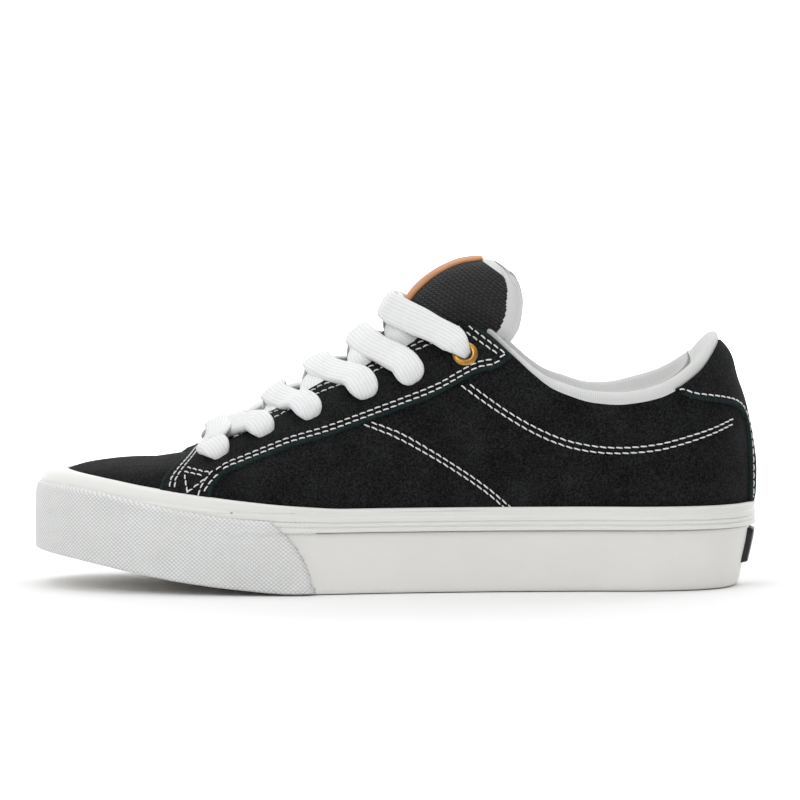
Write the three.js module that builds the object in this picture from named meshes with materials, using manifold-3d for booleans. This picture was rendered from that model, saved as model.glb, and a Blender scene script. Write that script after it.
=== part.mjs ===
// Low skateboarding shoe for the left foot, standing empty on its sole.
// Millimetres, +Z up, toe towards -X, heel towards +X, outer side of the foot towards -Y.

import * as THREE from 'three';
import { mergeVertices } from 'three/addons/utils/BufferGeometryUtils.js';
import Module from 'manifold-3d';

const wasm = await Module();
wasm.setup();

// Overall sizes
const LENGTH = 297; // from the toe bumper to the back of the foxing
const BALL_WIDTH = 107; // over the foxing at the ball of the foot
const INSTEP_HEIGHT = 127; // top of the closed form that the upper is cut from
const SHOULDER_HEIGHT = 34; // where the upright foot of the upper turns into its arch
const TONGUE_HEIGHT = 134.5; // top of the tongue above the floor
const CLEARANCE = 0.3; // between pieces that meet

// Upper and what is sewn on it
const UPPER_WALL = 2.4;
const OVERLAY_THICKNESS = 1.3;
const HEEL_BULGE = 2;
const TOPLINE_HEIGHT = 77; // lowest point of the collar's black edge
const THROAT_HALF_WIDTH = 18;
const THROAT_FOOT_RADIUS = 15;
const EYELET_HOLE_RADIUS = 2.3;
const EYELET_RING_RADIUS = 5.3;
const EYELET_RING_HOLE = 2.9;
const EYELET_RING_THICKNESS = 0.9;

// Collar padding
const COLLAR_THICKNESS = 8;
const COLLAR_DEPTH = 34;
const COLLAR_RISE = 4.6; // crest of the padding above the black edge

// Tongue
const TONGUE_THICKNESS = 8.5;
const TONGUE_HALF_WIDTH = 33;
const TONGUE_SQUARENESS = 2.8; // power of its section: 2 is an ellipse
const TONGUE_LABEL_THICKNESS = 1.2;
const TONGUE_LABEL_HALF_WIDTH = 15;

// Laces
const LACE_WIDTH = 10;
const LACE_THICKNESS = 4;
const LACE_LIFT = 1.6; // between the underside of a strand and the eyestay

// Sole
const FOXING_HEIGHT = 35; // top edge of the ribbed strip beside the waist
const FOXING_THICKNESS = 2.5;
const RIM_HEIGHT = 25.3; // top of the smooth side wall, foot of the ribbed strip
const TOE_SPRING = 15;
const BUMPER_THICKNESS = 1.5;
const BUMPER_HEIGHT = 43.5; // top edge of the toe bumper at the tip
const FOOTBED_HEIGHT = 14; // floor of the sole's inside at the heel
const INSOLE_THICKNESS = 4.5;
const OUTSOLE_THICKNESS = 4;
const OUTSOLE_INSET = 5;
const GROOVE_DEPTH = 1.8;
const GROOVE_WIDTH = 2.6;
const WALL_TUCK = 4.9; // how far the heel wall leans in from its top to the floor
const LABEL_HEIGHT = 14.5;
const LABEL_THICKNESS = 2;
const LABEL_TOP = 24;

// The last's line is the outer face of the upper, inside the foxing
const FOXING_OUT = CLEARANCE + FOXING_THICKNESS;
const BUMPER_OUT = FOXING_OUT + 2 * CLEARANCE + BUMPER_THICKNESS;
const LAST_TOE = -LENGTH / 2 + BUMPER_OUT;
const LAST_HEEL = LENGTH / 2 - FOXING_OUT;
const LAST_LENGTH = LAST_HEEL - LAST_TOE;
const LAST_WIDTH = BALL_WIDTH - 2 * FOXING_OUT;
const alongToX = (along) => LAST_TOE + along * LAST_LENGTH;
const xToAlong = (x) => (x - LAST_TOE) / LAST_LENGTH;

// Plan outline of the last, from the toe down the inner side, round the heel and back:
// along in shares of the last's length, across in shares of its width
const OUTLINE = [
  { along: 0, across: 0.07 },
  { along: 0.025, across: 0.265 },
  { along: 0.07, across: 0.385 },
  { along: 0.14, across: 0.455 },
  { along: 0.21, across: 0.49 },
  { along: 0.285, across: 0.5 },
  { along: 0.37, across: 0.478 },
  { along: 0.47, across: 0.415 },
  { along: 0.57, across: 0.357 },
  { along: 0.66, across: 0.337 },
  { along: 0.76, across: 0.353 },
  { along: 0.87, across: 0.372 },
  { along: 0.945, across: 0.3 },
  { along: 0.985, across: 0.17 },
  { along: 1, across: 0 },
  { along: 0.985, across: -0.165 },
  { along: 0.945, across: -0.29 },
  { along: 0.87, across: -0.358 },
  { along: 0.76, across: -0.357 },
  { along: 0.66, across: -0.37 },
  { along: 0.57, across: -0.395 },
  { along: 0.47, across: -0.437 },
  { along: 0.4, across: -0.476 },
  { along: 0.34, across: -0.5 },
  { along: 0.27, across: -0.487 },
  { along: 0.2, across: -0.44 },
  { along: 0.13, across: -0.37 },
  { along: 0.07, across: -0.275 },
  { along: 0.025, across: -0.135 },
];

// Sections of the closed form: ridge in shares of the instep height, side in shares of the
// last's width, fullness the power of the arch, bulge in shares of the heel bulge
const FORM = [
  { along: 0.155, ridge: 0.409, side: 0.045, fullness: 2.8, bulge: 0 },
  { along: 0.2, ridge: 0.426, side: 0.04, fullness: 2.75, bulge: 0.1 },
  { along: 0.222, ridge: 0.443, side: 0.038, fullness: 2.7, bulge: 0.2 },
  { along: 0.262, ridge: 0.492, side: 0.035, fullness: 2.6, bulge: 0.3 },
  { along: 0.33, ridge: 0.583, side: 0.03, fullness: 2.35, bulge: 0.4 },
  { along: 0.385, ridge: 0.672, side: 0.026, fullness: 2.15, bulge: 0.5 },
  { along: 0.45, ridge: 0.757, side: 0.022, fullness: 2.05, bulge: 0.5 },
  { along: 0.515, ridge: 0.858, side: 0.018, fullness: 2, bulge: 0.5 },
  { along: 0.58, ridge: 0.965, side: 0.015, fullness: 2, bulge: 0.5 },
  { along: 0.65, ridge: 1, side: 0.012, fullness: 2, bulge: 0.6 },
  { along: 0.76, ridge: 0.96, side: 0.01, fullness: 2.1, bulge: 0.8 },
  { along: 0.865, ridge: 0.896, side: 0.006, fullness: 2.2, bulge: 1 },
];

// Sole heights and offsets by place along the last: ground in shares of the toe spring, foxing of
// its height, rim of the rim height, bumper of the bumper height, bed of the footbed height,
// flare in shares of the foxing's reach, tuck of the wall tuck
const SOLE = [
  { along: -0.02, ground: 1, foxing: 1.38, rim: 1.1, bumper: 1, bed: 1.57, flare: 1, tuck: 0 },
  { along: 0.05, ground: 0.83, foxing: 1.335, rim: 1.09, bumper: 0.965, bed: 1.5, flare: 1, tuck: 0.03 },
  { along: 0.09, ground: 0.69, foxing: 1.3, rim: 1.075, bumper: 0.93, bed: 1.36, flare: 1, tuck: 0.06 },
  { along: 0.14, ground: 0.5, foxing: 1.243, rim: 1.05, bumper: 0.86, bed: 1.18, flare: 1, tuck: 0.1 },
  { along: 0.2, ground: 0.31, foxing: 1.177, rim: 1.02, bumper: 0.786, bed: 0.98, flare: 0.95, tuck: 0.15 },
  { along: 0.29, ground: 0.11, foxing: 1.088, rim: 1, bumper: 0.715, bed: 0.86, flare: 0.75, tuck: 0.25 },
  { along: 0.36, ground: 0, foxing: 1.033, rim: 1, bumper: 0.69, bed: 0.84, flare: 0.45, tuck: 0.35 },
  { along: 0.43, ground: 0, foxing: 1, rim: 1, bumper: 0.68, bed: 0.86, flare: 0.3, tuck: 0.45 },
  { along: 0.7, ground: 0, foxing: 1, rim: 1, bumper: 0.68, bed: 1, flare: 0.15, tuck: 0.6 },
  { along: 1.02, ground: 0, foxing: 1, rim: 1, bumper: 0.68, bed: 1, flare: 0.15, tuck: 1 },
];

// Side of the ribbed strip: rise in shares of its height, proud in shares of its thickness
const RIBS = [
  { rise: 0, proud: 0.85 },
  { rise: 0.04, proud: 1 },
  { rise: 0.17, proud: 1 },
  { rise: 0.22, proud: 0.78 },
  { rise: 0.28, proud: 0.97 },
  { rise: 0.36, proud: 0.97 },
  { rise: 0.41, proud: 0.78 },
  { rise: 0.47, proud: 0.96 },
  { rise: 0.64, proud: 0.96 },
  { rise: 0.7, proud: 0.84 },
  { rise: 1, proud: 0.56 },
];

// Side of the smooth wall below: rise in shares of its height, tuck in shares of the tuck there
const WALL_PROFILE = [
  { rise: 0, tuck: 1.15 },
  { rise: 0.05, tuck: 0.97 },
  { rise: 0.4, tuck: 0.6 },
  { rise: 0.8, tuck: 0.15 },
  { rise: 1, tuck: 0 },
];

// Black edge of the collar from the eyestay's corner to the back of the heel, seen from the side:
// along in shares of the last's length, height in shares of the topline height
const TOPLINE = [
  { along: 0.595, height: 1.42 },
  { along: 0.624, height: 1.365 },
  { along: 0.663, height: 1.238 },
  { along: 0.69, height: 1.147 },
  { along: 0.712, height: 1.09 },
  { along: 0.734, height: 1.058 },
  { along: 0.776, height: 1.01 },
  { along: 0.81, height: 1 },
  { along: 0.84, height: 1.012 },
  { along: 0.868, height: 1.035 },
  { along: 0.89, height: 1.07 },
  { along: 0.911, height: 1.12 },
  { along: 0.93, height: 1.18 },
  { along: 0.955, height: 1.31 },
];

// Lower edge of the eyestay, from its rear corner down to the foxing, and its front edge back up
// to the ridge: along in shares of the last's length, height in shares of the topline height
const EYESTAY_LOWER = [
  { along: 0.68, height: 1.25 },
  { along: 0.652, height: 1.208 },
  { along: 0.635, height: 1.173 },
  { along: 0.615, height: 1.16 },
  { along: 0.592, height: 1.116 },
  { along: 0.551, height: 1.032 },
  { along: 0.501, height: 0.96 },
  { along: 0.45, height: 0.891 },
  { along: 0.4, height: 0.825 },
  { along: 0.35, height: 0.77 },
  { along: 0.319, height: 0.725 },
  { along: 0.279, height: 0.664 },
  { along: 0.264, height: 0.642 },
  { along: 0.252, height: 0.605 },
  { along: 0.244, height: 0.566 },
  { along: 0.241, height: 0.5 },
];
const EYESTAY_FRONT = [
  { along: 0.168, height: 0.5 },
  { along: 0.169, height: 0.568 },
  { along: 0.179, height: 0.626 },
  { along: 0.194, height: 0.677 },
  { along: 0.21, height: 0.726 },
  { along: 0.222, height: 0.76 },
  { along: 0.222, height: 0.95 },
];

// Edge of the heel patch, from the collar down the back strip, same columns
const HEEL_PATCH_EDGE = [
  { along: 0.881, height: 1.2 },
  { along: 0.881, height: 1.07 },
  { along: 0.894, height: 1.048 },
  { along: 0.915, height: 1.018 },
  { along: 0.937, height: 1.005 },
  { along: 0.961, height: 0.988 },
  { along: 0.9755, height: 0.969 },
  { along: 0.9845, height: 0.94 },
  { along: 0.99, height: 0.901 },
  { along: 0.9945, height: 0.82 },
  { along: 0.9965, height: 0.68 },
  { along: 0.9965, height: 0.47 },
];

// Tongue from its hidden foot to its top edge: reach the share of the way up, along in shares of
// the last's length, height of the crest in shares of the tongue height, thick and wide in shares
// of the tongue's sizes, wrap how far its edges hang below the crest in shares of its own half
// width, lean the way that they hang in degrees from straight down towards the heel
const TONGUE = [
  { reach: 0, along: 0.235, height: 0.355, thick: 0.4, wide: 0.6, wrap: 0.4, lean: 45 },
  { reach: 0.1, along: 0.262, height: 0.43, thick: 0.6, wide: 0.66, wrap: 0.47, lean: 49 },
  { reach: 0.25, along: 0.318, height: 0.532, thick: 0.75, wide: 0.72, wrap: 0.5, lean: 42 },
  { reach: 0.4, along: 0.379, height: 0.627, thick: 0.85, wide: 0.74, wrap: 0.8, lean: 41 },
  { reach: 0.55, along: 0.443, height: 0.717, thick: 0.95, wide: 0.78, wrap: 1.2, lean: 46 },
  { reach: 0.68, along: 0.493, height: 0.805, thick: 1, wide: 0.82, wrap: 1.3, lean: 51 },
  { reach: 0.78, along: 0.525, height: 0.912, thick: 1, wide: 0.85, wrap: 1.45, lean: 55 },
  { reach: 0.87, along: 0.566, height: 0.975, thick: 1, wide: 0.85, wrap: 1.39, lean: 54.4 },
  { reach: 0.93, along: 0.597, height: 0.997, thick: 0.95, wide: 0.8, wrap: 1.07, lean: 53.4 },
  { reach: 0.97, along: 0.616, height: 1, thick: 0.85, wide: 0.71, wrap: 0.8, lean: 54.8 },
  { reach: 1, along: 0.63, height: 0.992, thick: 0.6, wide: 0.58, wrap: 0.47, lean: 56.8 },
];

// Rows up the toe bumper: rise in shares of its height, thick in shares of its thickness
const BUMPER_ROWS = [
  { rise: 0, thick: 1 },
  { rise: 0.3, thick: 1 },
  { rise: 0.55, thick: 1 },
  { rise: 0.72, thick: 1 },
  { rise: 0.86, thick: 1 },
  { rise: 0.96, thick: 1 },
  { rise: 1, thick: 0.6 },
];

// Rear edge of the toe bumper, seen from the side: along in shares of the last's length, height in
// shares of the bumper height
const BUMPER_REAR = [
  { along: 0.3, height: 1.2 },
  { along: 0.322, height: 0.695 },
  { along: 0.336, height: 0.625 },
  { along: 0.355, height: 0.488 },
  { along: 0.37, height: 0.322 },
  { along: 0.379, height: 0.161 },
  { along: 0.383, height: -0.05 },
];

// Eyelets, from the bottom row to the top one: along in shares of the last's length, rise in shares
// of the way up the arch
const EYELETS = [
  { along: 0.25, rise: 0.8 },
  { along: 0.316, rise: 0.82 },
  { along: 0.38, rise: 0.765 },
  { along: 0.457, rise: 0.745 },
  { along: 0.522, rise: 0.705 },
  { along: 0.595, rise: 0.69 },
];

// Section of the lace in shares of its width and thickness
const LACE_PROFILE = [
  { across: -0.5, up: 0 },
  { across: -0.36, up: 0.5 },
  { across: 0.36, up: 0.5 },
  { across: 0.5, up: 0 },
  { across: 0.36, up: -0.5 },
  { across: -0.36, up: -0.5 },
];

// Rows of the tan patch on the tongue, as shares of the way up the tongue
const TONGUE_LABEL_REACHES = [0.775, 0.83, 0.88, 0.93, 0.97];

// Grooves across the tread: along in shares of the last's length
const GROOVES = [0.06, 0.11, 0.16, 0.21, 0.26, 0.31, 0.36, 0.41, 0.46, 0.72, 0.77, 0.82, 0.87, 0.92];

// Mesh resolution
const STATIONS = 14;
const TOE_FAN = 10;
const HEEL_FAN = 10;
const ARCH_ROWS = [0.15, 0.3, 0.45, 0.59, 0.73, 0.87];
const OUTLINE_SAMPLES = 720;

const TOE_CENTRE = FORM[0].along;
const HEEL_CENTRE = FORM[FORM.length - 1].along;

// A smooth function through one column of a table, without overshoot between rows
function columnCurve(table, column, place = 'along') {
  const places = table.map((row) => row[place]);
  const values = table.map((row) => row[column]);
  const last = places.length - 1;
  const steps = places.slice(1).map((end, i) => (values[i + 1] - values[i]) / (end - places[i]));
  const slopes = places.map((_, i) => {
    if (i === 0) return steps[0];
    if (i === last) return steps[last - 1];
    const product = steps[i - 1] * steps[i];
    return product <= 0 ? 0 : (2 * product) / (steps[i - 1] + steps[i]);
  });
  return (along) => {
    if (along <= places[0]) return values[0];
    if (along >= places[last]) return values[last];
    const i = places.findIndex((end) => end > along) - 1;
    const span = places[i + 1] - places[i];
    const t = (along - places[i]) / span;
    const rise = values[i] * (1 + 2 * t) * (1 - t) ** 2 + values[i + 1] * t * t * (3 - 2 * t);
    return rise + span * (slopes[i] * t * (1 - t) ** 2 - slopes[i + 1] * t * t * (1 - t));
  };
}

const columns = (table, names, place) =>
  Object.fromEntries(names.map((name) => [name, columnCurve(table, name, place)]));
const form = columns(FORM, ['ridge', 'side', 'fullness', 'bulge']);
const sole = columns(SOLE, ['ground', 'foxing', 'rim', 'bumper', 'bed', 'flare', 'tuck']);

const groundAt = (x) => TOE_SPRING * sole.ground(xToAlong(x));
const foxingTopAt = (x) => FOXING_HEIGHT * sole.foxing(xToAlong(x));
const rimAt = (x) => RIM_HEIGHT * sole.rim(xToAlong(x));
const bumperTopAt = (x) => BUMPER_HEIGHT * sole.bumper(xToAlong(x));
const bedAt = (x) => FOOTBED_HEIGHT * sole.bed(xToAlong(x));

const outline = new THREE.CatmullRomCurve3(
  OUTLINE.map((p) => new THREE.Vector3(alongToX(p.along), p.across * LAST_WIDTH, 0)),
  true,
  'centripetal',
).getSpacedPoints(OUTLINE_SAMPLES);

// Where a ray in plan from a point inside the last leaves its outline
function ray(centre, direction) {
  for (let i = 0; i < outline.length - 1; i += 1) {
    const edge = outline[i + 1].clone().sub(outline[i]);
    const toStart = outline[i].clone().sub(centre);
    const turn = direction.x * edge.y - direction.y * edge.x;
    const reach = (toStart.x * edge.y - toStart.y * edge.x) / turn;
    const share = (toStart.x * direction.y - toStart.y * direction.x) / turn;
    if (reach > 0 && share >= 0 && share < 1) {
      const base = centre.clone().addScaledVector(direction, reach);
      const normal = new THREE.Vector3(edge.y, -edge.x, 0).normalize();
      if (normal.dot(direction) < 0) normal.negate();
      return { centre, base, normal };
    }
  }
  return null;
}

const spine = (along) => new THREE.Vector3(alongToX(along), form.side(along) * LAST_WIDTH, 0);
const acrossRay = (along, side) => ray(spine(along), new THREE.Vector3(0, side, 0));
const fanRay = (along, angle) =>
  ray(spine(along), new THREE.Vector3(Math.cos(angle), Math.sin(angle), 0));

// The rays round the last: outer side to the heel, round it, inner side to the toe, round it
const stationAlong = (i) => TOE_CENTRE + ((HEEL_CENTRE - TOE_CENTRE) * i) / (STATIONS - 1);
const range = (count) => Array.from({ length: count }, (_, i) => i);
const RING = [
  ...range(STATIONS).map((i) => acrossRay(stationAlong(i), -1)),
  ...range(HEEL_FAN - 1).map((i) => fanRay(HEEL_CENTRE, -Math.PI / 2 + (Math.PI * (i + 1)) / HEEL_FAN)),
  ...range(STATIONS).map((i) => acrossRay(stationAlong(STATIONS - 1 - i), 1)),
  ...range(TOE_FAN - 1).map((i) => fanRay(TOE_CENTRE, Math.PI / 2 + (Math.PI * (i + 1)) / TOE_FAN)),
];

// A point of the closed form on one ray, at a share of the way up its arch
function archPoint(spoke, rise) {
  const along = xToAlong(spoke.centre.x);
  const power = form.fullness(along);
  const reach = (1 - rise ** power) ** (1 / power);
  const swell = HEEL_BULGE * form.bulge(along) * Math.sin(Math.PI * Math.sqrt(rise));
  const top = INSTEP_HEIGHT * form.ridge(along);
  return spoke.centre
    .clone()
    .lerp(spoke.base, reach)
    .addScaledVector(spoke.normal, swell)
    .setZ(SHOULDER_HEIGHT + (top - SHOULDER_HEIGHT) * rise);
}

// A point of the closed form on one ray at a height, from its upright foot to its arch
function formPoint(spoke, height) {
  if (height <= SHOULDER_HEIGHT) return spoke.base.clone().setZ(height);
  const top = INSTEP_HEIGHT * form.ridge(xToAlong(spoke.centre.x));
  return archPoint(spoke, Math.min(0.999, (height - SHOULDER_HEIGHT) / (top - SHOULDER_HEIGHT)));
}

// The form's outward direction there
function formNormal(spoke, height) {
  const step = 0.5;
  const climb = formPoint(spoke, height + step).sub(formPoint(spoke, height));
  const tangent = new THREE.Vector3(-spoke.normal.y, spoke.normal.x, 0);
  const normal = tangent.cross(climb).normalize();
  if (normal.dot(spoke.normal) < 0) normal.negate();
  return normal;
}

// A point at a distance outside the form whose own height is the one asked for
function outside(spoke, height, distance) {
  let foot = height;
  let point = formPoint(spoke, height);
  for (let pass = 0; pass < 5; pass += 1) {
    point = formPoint(spoke, foot).addScaledVector(formNormal(spoke, foot), distance);
    foot += height - point.z;
  }
  return point;
}

// Geometry from points and triangles, merged, without empty triangles, facing out
function geometryFrom(points, triangles) {
  const raw = new THREE.BufferGeometry();
  raw.setAttribute('position', new THREE.Float32BufferAttribute(points.flatMap((p) => p.toArray()), 3));
  raw.setIndex(triangles.flat());
  const merged = mergeVertices(raw, 1e-4);
  const index = merged.getIndex().array;
  const kept = [];
  for (let i = 0; i < index.length; i += 3) {
    const [a, b, c] = [index[i], index[i + 1], index[i + 2]];
    if (a !== b && b !== c && c !== a) kept.push(a, b, c);
  }
  merged.setIndex(kept);
  if (signedVolume(merged) < 0) merged.setIndex(kept.slice().reverse());
  return merged;
}

function signedVolume(geometry) {
  const position = geometry.getAttribute('position');
  const index = geometry.getIndex().array;
  const corner = (i) => new THREE.Vector3().fromBufferAttribute(position, index[i]);
  let total = 0;
  for (let i = 0; i < index.length; i += 3) {
    total += corner(i).dot(corner(i + 1).cross(corner(i + 2)));
  }
  return total;
}

// Rows of points, each as long as the ring: joined row to row, and the last to the first if closed
function ringTriangles(rowCount, ringCount, closed) {
  const triangles = [];
  const bands = closed ? rowCount : rowCount - 1;
  for (let r = 0; r < bands; r += 1) {
    for (let i = 0; i < ringCount; i += 1) {
      const a = r * ringCount + i;
      const b = r * ringCount + ((i + 1) % ringCount);
      const c = ((r + 1) % rowCount) * ringCount + ((i + 1) % ringCount);
      const d = ((r + 1) % rowCount) * ringCount + i;
      triangles.push([a, b, c], [a, c, d]);
    }
  }
  return triangles;
}

function ringLoft(rows, closed = false) {
  return geometryFrom(rows.flat(), ringTriangles(rows.length, rows[0].length, closed));
}

// Sections of equal count, each an outer and an inner row of points: a strip with closed ends
function stripLoft(sections) {
  const count = sections[0].outer.length;
  const loop = 2 * count;
  const points = sections.flatMap((s) => [...s.outer, ...s.inner.slice().reverse()]);
  const triangles = [];
  for (let s = 0; s < sections.length - 1; s += 1) {
    for (let i = 0; i < loop; i += 1) {
      const a = s * loop + i;
      const b = s * loop + ((i + 1) % loop);
      triangles.push([a, b, b + loop], [a, b + loop, a + loop]);
    }
  }
  const finish = (sections.length - 1) * loop;
  for (let i = 0; i < count - 1; i += 1) {
    const [a, b, c, d] = [i, i + 1, loop - 2 - i, loop - 1 - i];
    triangles.push([a, c, b], [a, d, c]);
    triangles.push([finish + a, finish + b, finish + c], [finish + a, finish + c, finish + d]);
  }
  return geometryFrom(points, triangles);
}

function solid(geometry) {
  const bare = geometry.clone();
  bare.deleteAttribute('normal');
  bare.deleteAttribute('uv');
  const merged = mergeVertices(bare, 1e-4);
  return new wasm.Manifold(
    new wasm.Mesh({
      numProp: 3,
      vertProperties: Float32Array.from(merged.getAttribute('position').array),
      triVerts: Uint32Array.from(merged.getIndex().array),
    }),
  );
}

function geometryOf(manifold) {
  const mesh = manifold.getMesh();
  const geometry = new THREE.BufferGeometry();
  geometry.setAttribute('position', new THREE.Float32BufferAttribute(mesh.vertProperties, 3));
  geometry.setIndex(new THREE.Uint32BufferAttribute(mesh.triVerts, 1));
  return geometry;
}

const unionOf = (solids) => solids.reduce((sum, next) => sum.add(next));

// A flat outline given as [x, z] pairs, pushed through the shoe from side to side
function sidePrism(outlinePoints, from = -BALL_WIDTH, to = BALL_WIDTH) {
  const shape = new THREE.Shape(outlinePoints.map(([x, z]) => new THREE.Vector2(x, z)));
  const prism = new THREE.ExtrudeGeometry(shape, { depth: to - from, bevelEnabled: false });
  prism.rotateX(Math.PI / 2);
  prism.translate(0, to, 0);
  return solid(prism);
}

// A flat outline given as [x, y] pairs, pushed upwards
function planPrism(outlinePoints, from, to) {
  const shape = new THREE.Shape(outlinePoints.map(([x, y]) => new THREE.Vector2(x, y)));
  const prism = new THREE.ExtrudeGeometry(shape, { depth: to - from, bevelEnabled: false });
  prism.translate(0, 0, from);
  return solid(prism);
}

// The closed form and its offsets, all on one grid
const FORM_ROWS = [
  (spoke) => spoke.base.clone().setZ(rimAt(spoke.base.x) + CLEARANCE),
  (spoke) => spoke.base.clone().setZ(SHOULDER_HEIGHT),
  ...ARCH_ROWS.map((turn) => (spoke) => {
    const power = form.fullness(xToAlong(spoke.centre.x));
    return archPoint(spoke, Math.sin((turn * Math.PI) / 2) ** (2 / power));
  }),
  (spoke) => archPoint(spoke, 1),
];

const formGrid = FORM_ROWS.map((row) => RING.map(row));
const formNormals = gridNormals(formGrid);

// Outward directions at the points of an open grid of rows, averaged over the faces that meet
function gridNormals(grid) {
  const sums = new Map();
  const key = (p) => p.toArray().map((v) => v.toFixed(3)).join();
  const points = grid.flat();
  ringTriangles(grid.length, grid[0].length, false).forEach(([a, b, c]) => {
    const face = points[b].clone().sub(points[a]).cross(points[c].clone().sub(points[a]));
    [a, b, c].forEach((i) => {
      const k = key(points[i]);
      sums.set(k, (sums.get(k) ?? new THREE.Vector3()).add(face));
    });
  });
  return grid.map((row) => row.map((p) => sums.get(key(p)).clone().normalize()));
}

function formSolid(distance, drop = 0) {
  const rows = formGrid.map((row, r) =>
    row.map((p, i) => p.clone().addScaledVector(formNormals[r][i], distance)),
  );
  rows[0] = rows[0].map((p) => p.setZ(p.z - drop));
  const floorAt = (x) => rimAt(x) + CLEARANCE - drop;
  const floor = RING.map(({ centre }) => centre.clone().setZ(floorAt(centre.x)));
  return solid(ringLoft([floor, ...rows]));
}

// Opening of the throat in plan, drawn in by a margin
function throatOutline(margin) {
  const foot = FORM[3].along + THROAT_FOOT_RADIUS / LAST_LENGTH;
  const head = TOPLINE[2].along;
  const half = (along) => {
    const t = (along - foot) / (head - foot);
    return THREE.MathUtils.lerp(THROAT_FOOT_RADIUS, THROAT_HALF_WIDTH, Math.min(1, t * 1.6)) - margin;
  };
  const middle = (along) => form.side(along) * LAST_WIDTH;
  const stations = range(7).map((i) => THREE.MathUtils.lerp(foot, head, i / 6));
  const side = (sign) => stations.map((a) => [alongToX(a), middle(a) + sign * half(a)]);
  const bow = range(7).map((i) => {
    const angle = Math.PI / 2 + (Math.PI * (i + 1)) / 8;
    const radius = THROAT_FOOT_RADIUS - margin;
    return [alongToX(foot) + radius * Math.cos(angle), middle(foot) + radius * Math.sin(angle)];
  });
  return [...side(-1), ...side(1).reverse(), ...bow];
}

const throat = (margin) => planPrism(throatOutline(margin), SHOULDER_HEIGHT, 2 * INSTEP_HEIGHT);

const sidePoint = ({ along, height }, lift = 0) => [alongToX(along), TOPLINE_HEIGHT * height + lift];

// Everything above the collar's edge
function aboveTopline(lift) {
  const top = 2 * INSTEP_HEIGHT;
  const edge = TOPLINE.map((row) => sidePoint(row, lift));
  const back = [alongToX(1.1), edge[edge.length - 1][1]];
  const [firstX] = edge[0];
  return sidePrism([...edge, back, [back[0], top], [firstX - THROAT_HALF_WIDTH, top]]);
}

// A place on the arch of the form: its point and outward direction
function archPlace(along, side, rise) {
  const step = 0.004;
  const at = (a, r) => archPoint(acrossRay(a, side), r);
  const point = at(along, rise);
  const lengthwise = at(along + step, rise).sub(at(along - step, rise));
  const climb = point.clone().sub(at(along, rise - step));
  const normal = lengthwise.cross(climb).multiplyScalar(-side).normalize();
  return { point, normal };
}

// Middle of each eyelet on one side of the foot
function eyeletPlaces(side) {
  return EYELETS.map(({ along, rise }) => ({ ...archPlace(along, side, rise), along, rise }));
}

const SIDES = { lateral: -1, medial: 1 };
const eyelets = Object.fromEntries(
  Object.entries(SIDES).map(([name, side]) => [name, eyeletPlaces(side)]),
);
const allEyelets = [...eyelets.lateral, ...eyelets.medial];

// Stands a geometry made along +Z on a place of the form
function standOn(geometry, { point, normal }, lift = 0) {
  const turn = new THREE.Quaternion().setFromUnitVectors(new THREE.Vector3(0, 0, 1), normal);
  geometry.applyQuaternion(turn);
  const foot = point.clone().addScaledVector(normal, lift);
  geometry.translate(foot.x, foot.y, foot.z);
  return geometry;
}

function eyeletHoles() {
  return unionOf(
    allEyelets.map((place) => {
      const drill = new THREE.CylinderGeometry(EYELET_HOLE_RADIUS, EYELET_HOLE_RADIUS, 16, 6);
      drill.rotateX(Math.PI / 2);
      return solid(standOn(drill, place));
    }),
  );
}

// Pieces

function makeUpper() {
  return formSolid(0)
    .subtract(formSolid(-UPPER_WALL, 6))
    .subtract(throat(0))
    .subtract(aboveTopline(0))
    .subtract(eyeletHoles());
}

function overlaySkin() {
  return formSolid(CLEARANCE + OVERLAY_THICKNESS).subtract(formSolid(CLEARANCE, 6));
}

function foxingLine(fromAlong, toAlong, lift) {
  return range(6).map((i) => {
    const x = alongToX(THREE.MathUtils.lerp(fromAlong, toAlong, i / 5));
    return [x, foxingTopAt(x) + lift];
  });
}

function makeEyestay() {
  const lower = EYESTAY_LOWER.slice(0, -1).map((row) => sidePoint(row));
  const front = EYESTAY_FRONT.slice(1).map((row) => sidePoint(row));
  const foot = foxingLine(EYESTAY_LOWER[EYESTAY_LOWER.length - 1].along, EYESTAY_FRONT[0].along, CLEARANCE);
  const lid = [
    [alongToX(0.4), 2 * INSTEP_HEIGHT],
    [alongToX(0.7), 2 * INSTEP_HEIGHT],
  ];
  return overlaySkin()
    .intersect(sidePrism([...lower, ...foot, ...front, ...lid]))
    .subtract(throat(0))
    .subtract(aboveTopline(0))
    .subtract(eyeletHoles());
}

function makeHeelPatch() {
  const edge = HEEL_PATCH_EDGE.slice(0, -1).map((row) => sidePoint(row));
  const strip = HEEL_PATCH_EDGE[HEEL_PATCH_EDGE.length - 1];
  const foot = FOXING_HEIGHT + CLEARANCE;
  const outlinePoints = [
    ...edge,
    [alongToX(strip.along), foot],
    [alongToX(1.1), foot],
    [alongToX(1.1), INSTEP_HEIGHT],
  ];
  return overlaySkin().intersect(sidePrism(outlinePoints)).subtract(aboveTopline(0));
}

// How far out the middle of an eyelet ring stands
const RING_LIFT = 3 * CLEARANCE + OVERLAY_THICKNESS + EYELET_RING_THICKNESS / 2;

function makeEyeletRing(place) {
  const half = EYELET_RING_THICKNESS / 2;
  const profile = [
    new THREE.Vector2(EYELET_RING_HOLE, -half),
    new THREE.Vector2(EYELET_RING_RADIUS, -half),
    new THREE.Vector2(EYELET_RING_RADIUS - half, half),
    new THREE.Vector2(EYELET_RING_HOLE + half, half),
    new THREE.Vector2(EYELET_RING_HOLE, -half),
  ];
  const ring = new THREE.LatheGeometry(profile, 20);
  ring.rotateX(Math.PI / 2);
  return solid(standOn(ring, place, RING_LIFT));
}

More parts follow.
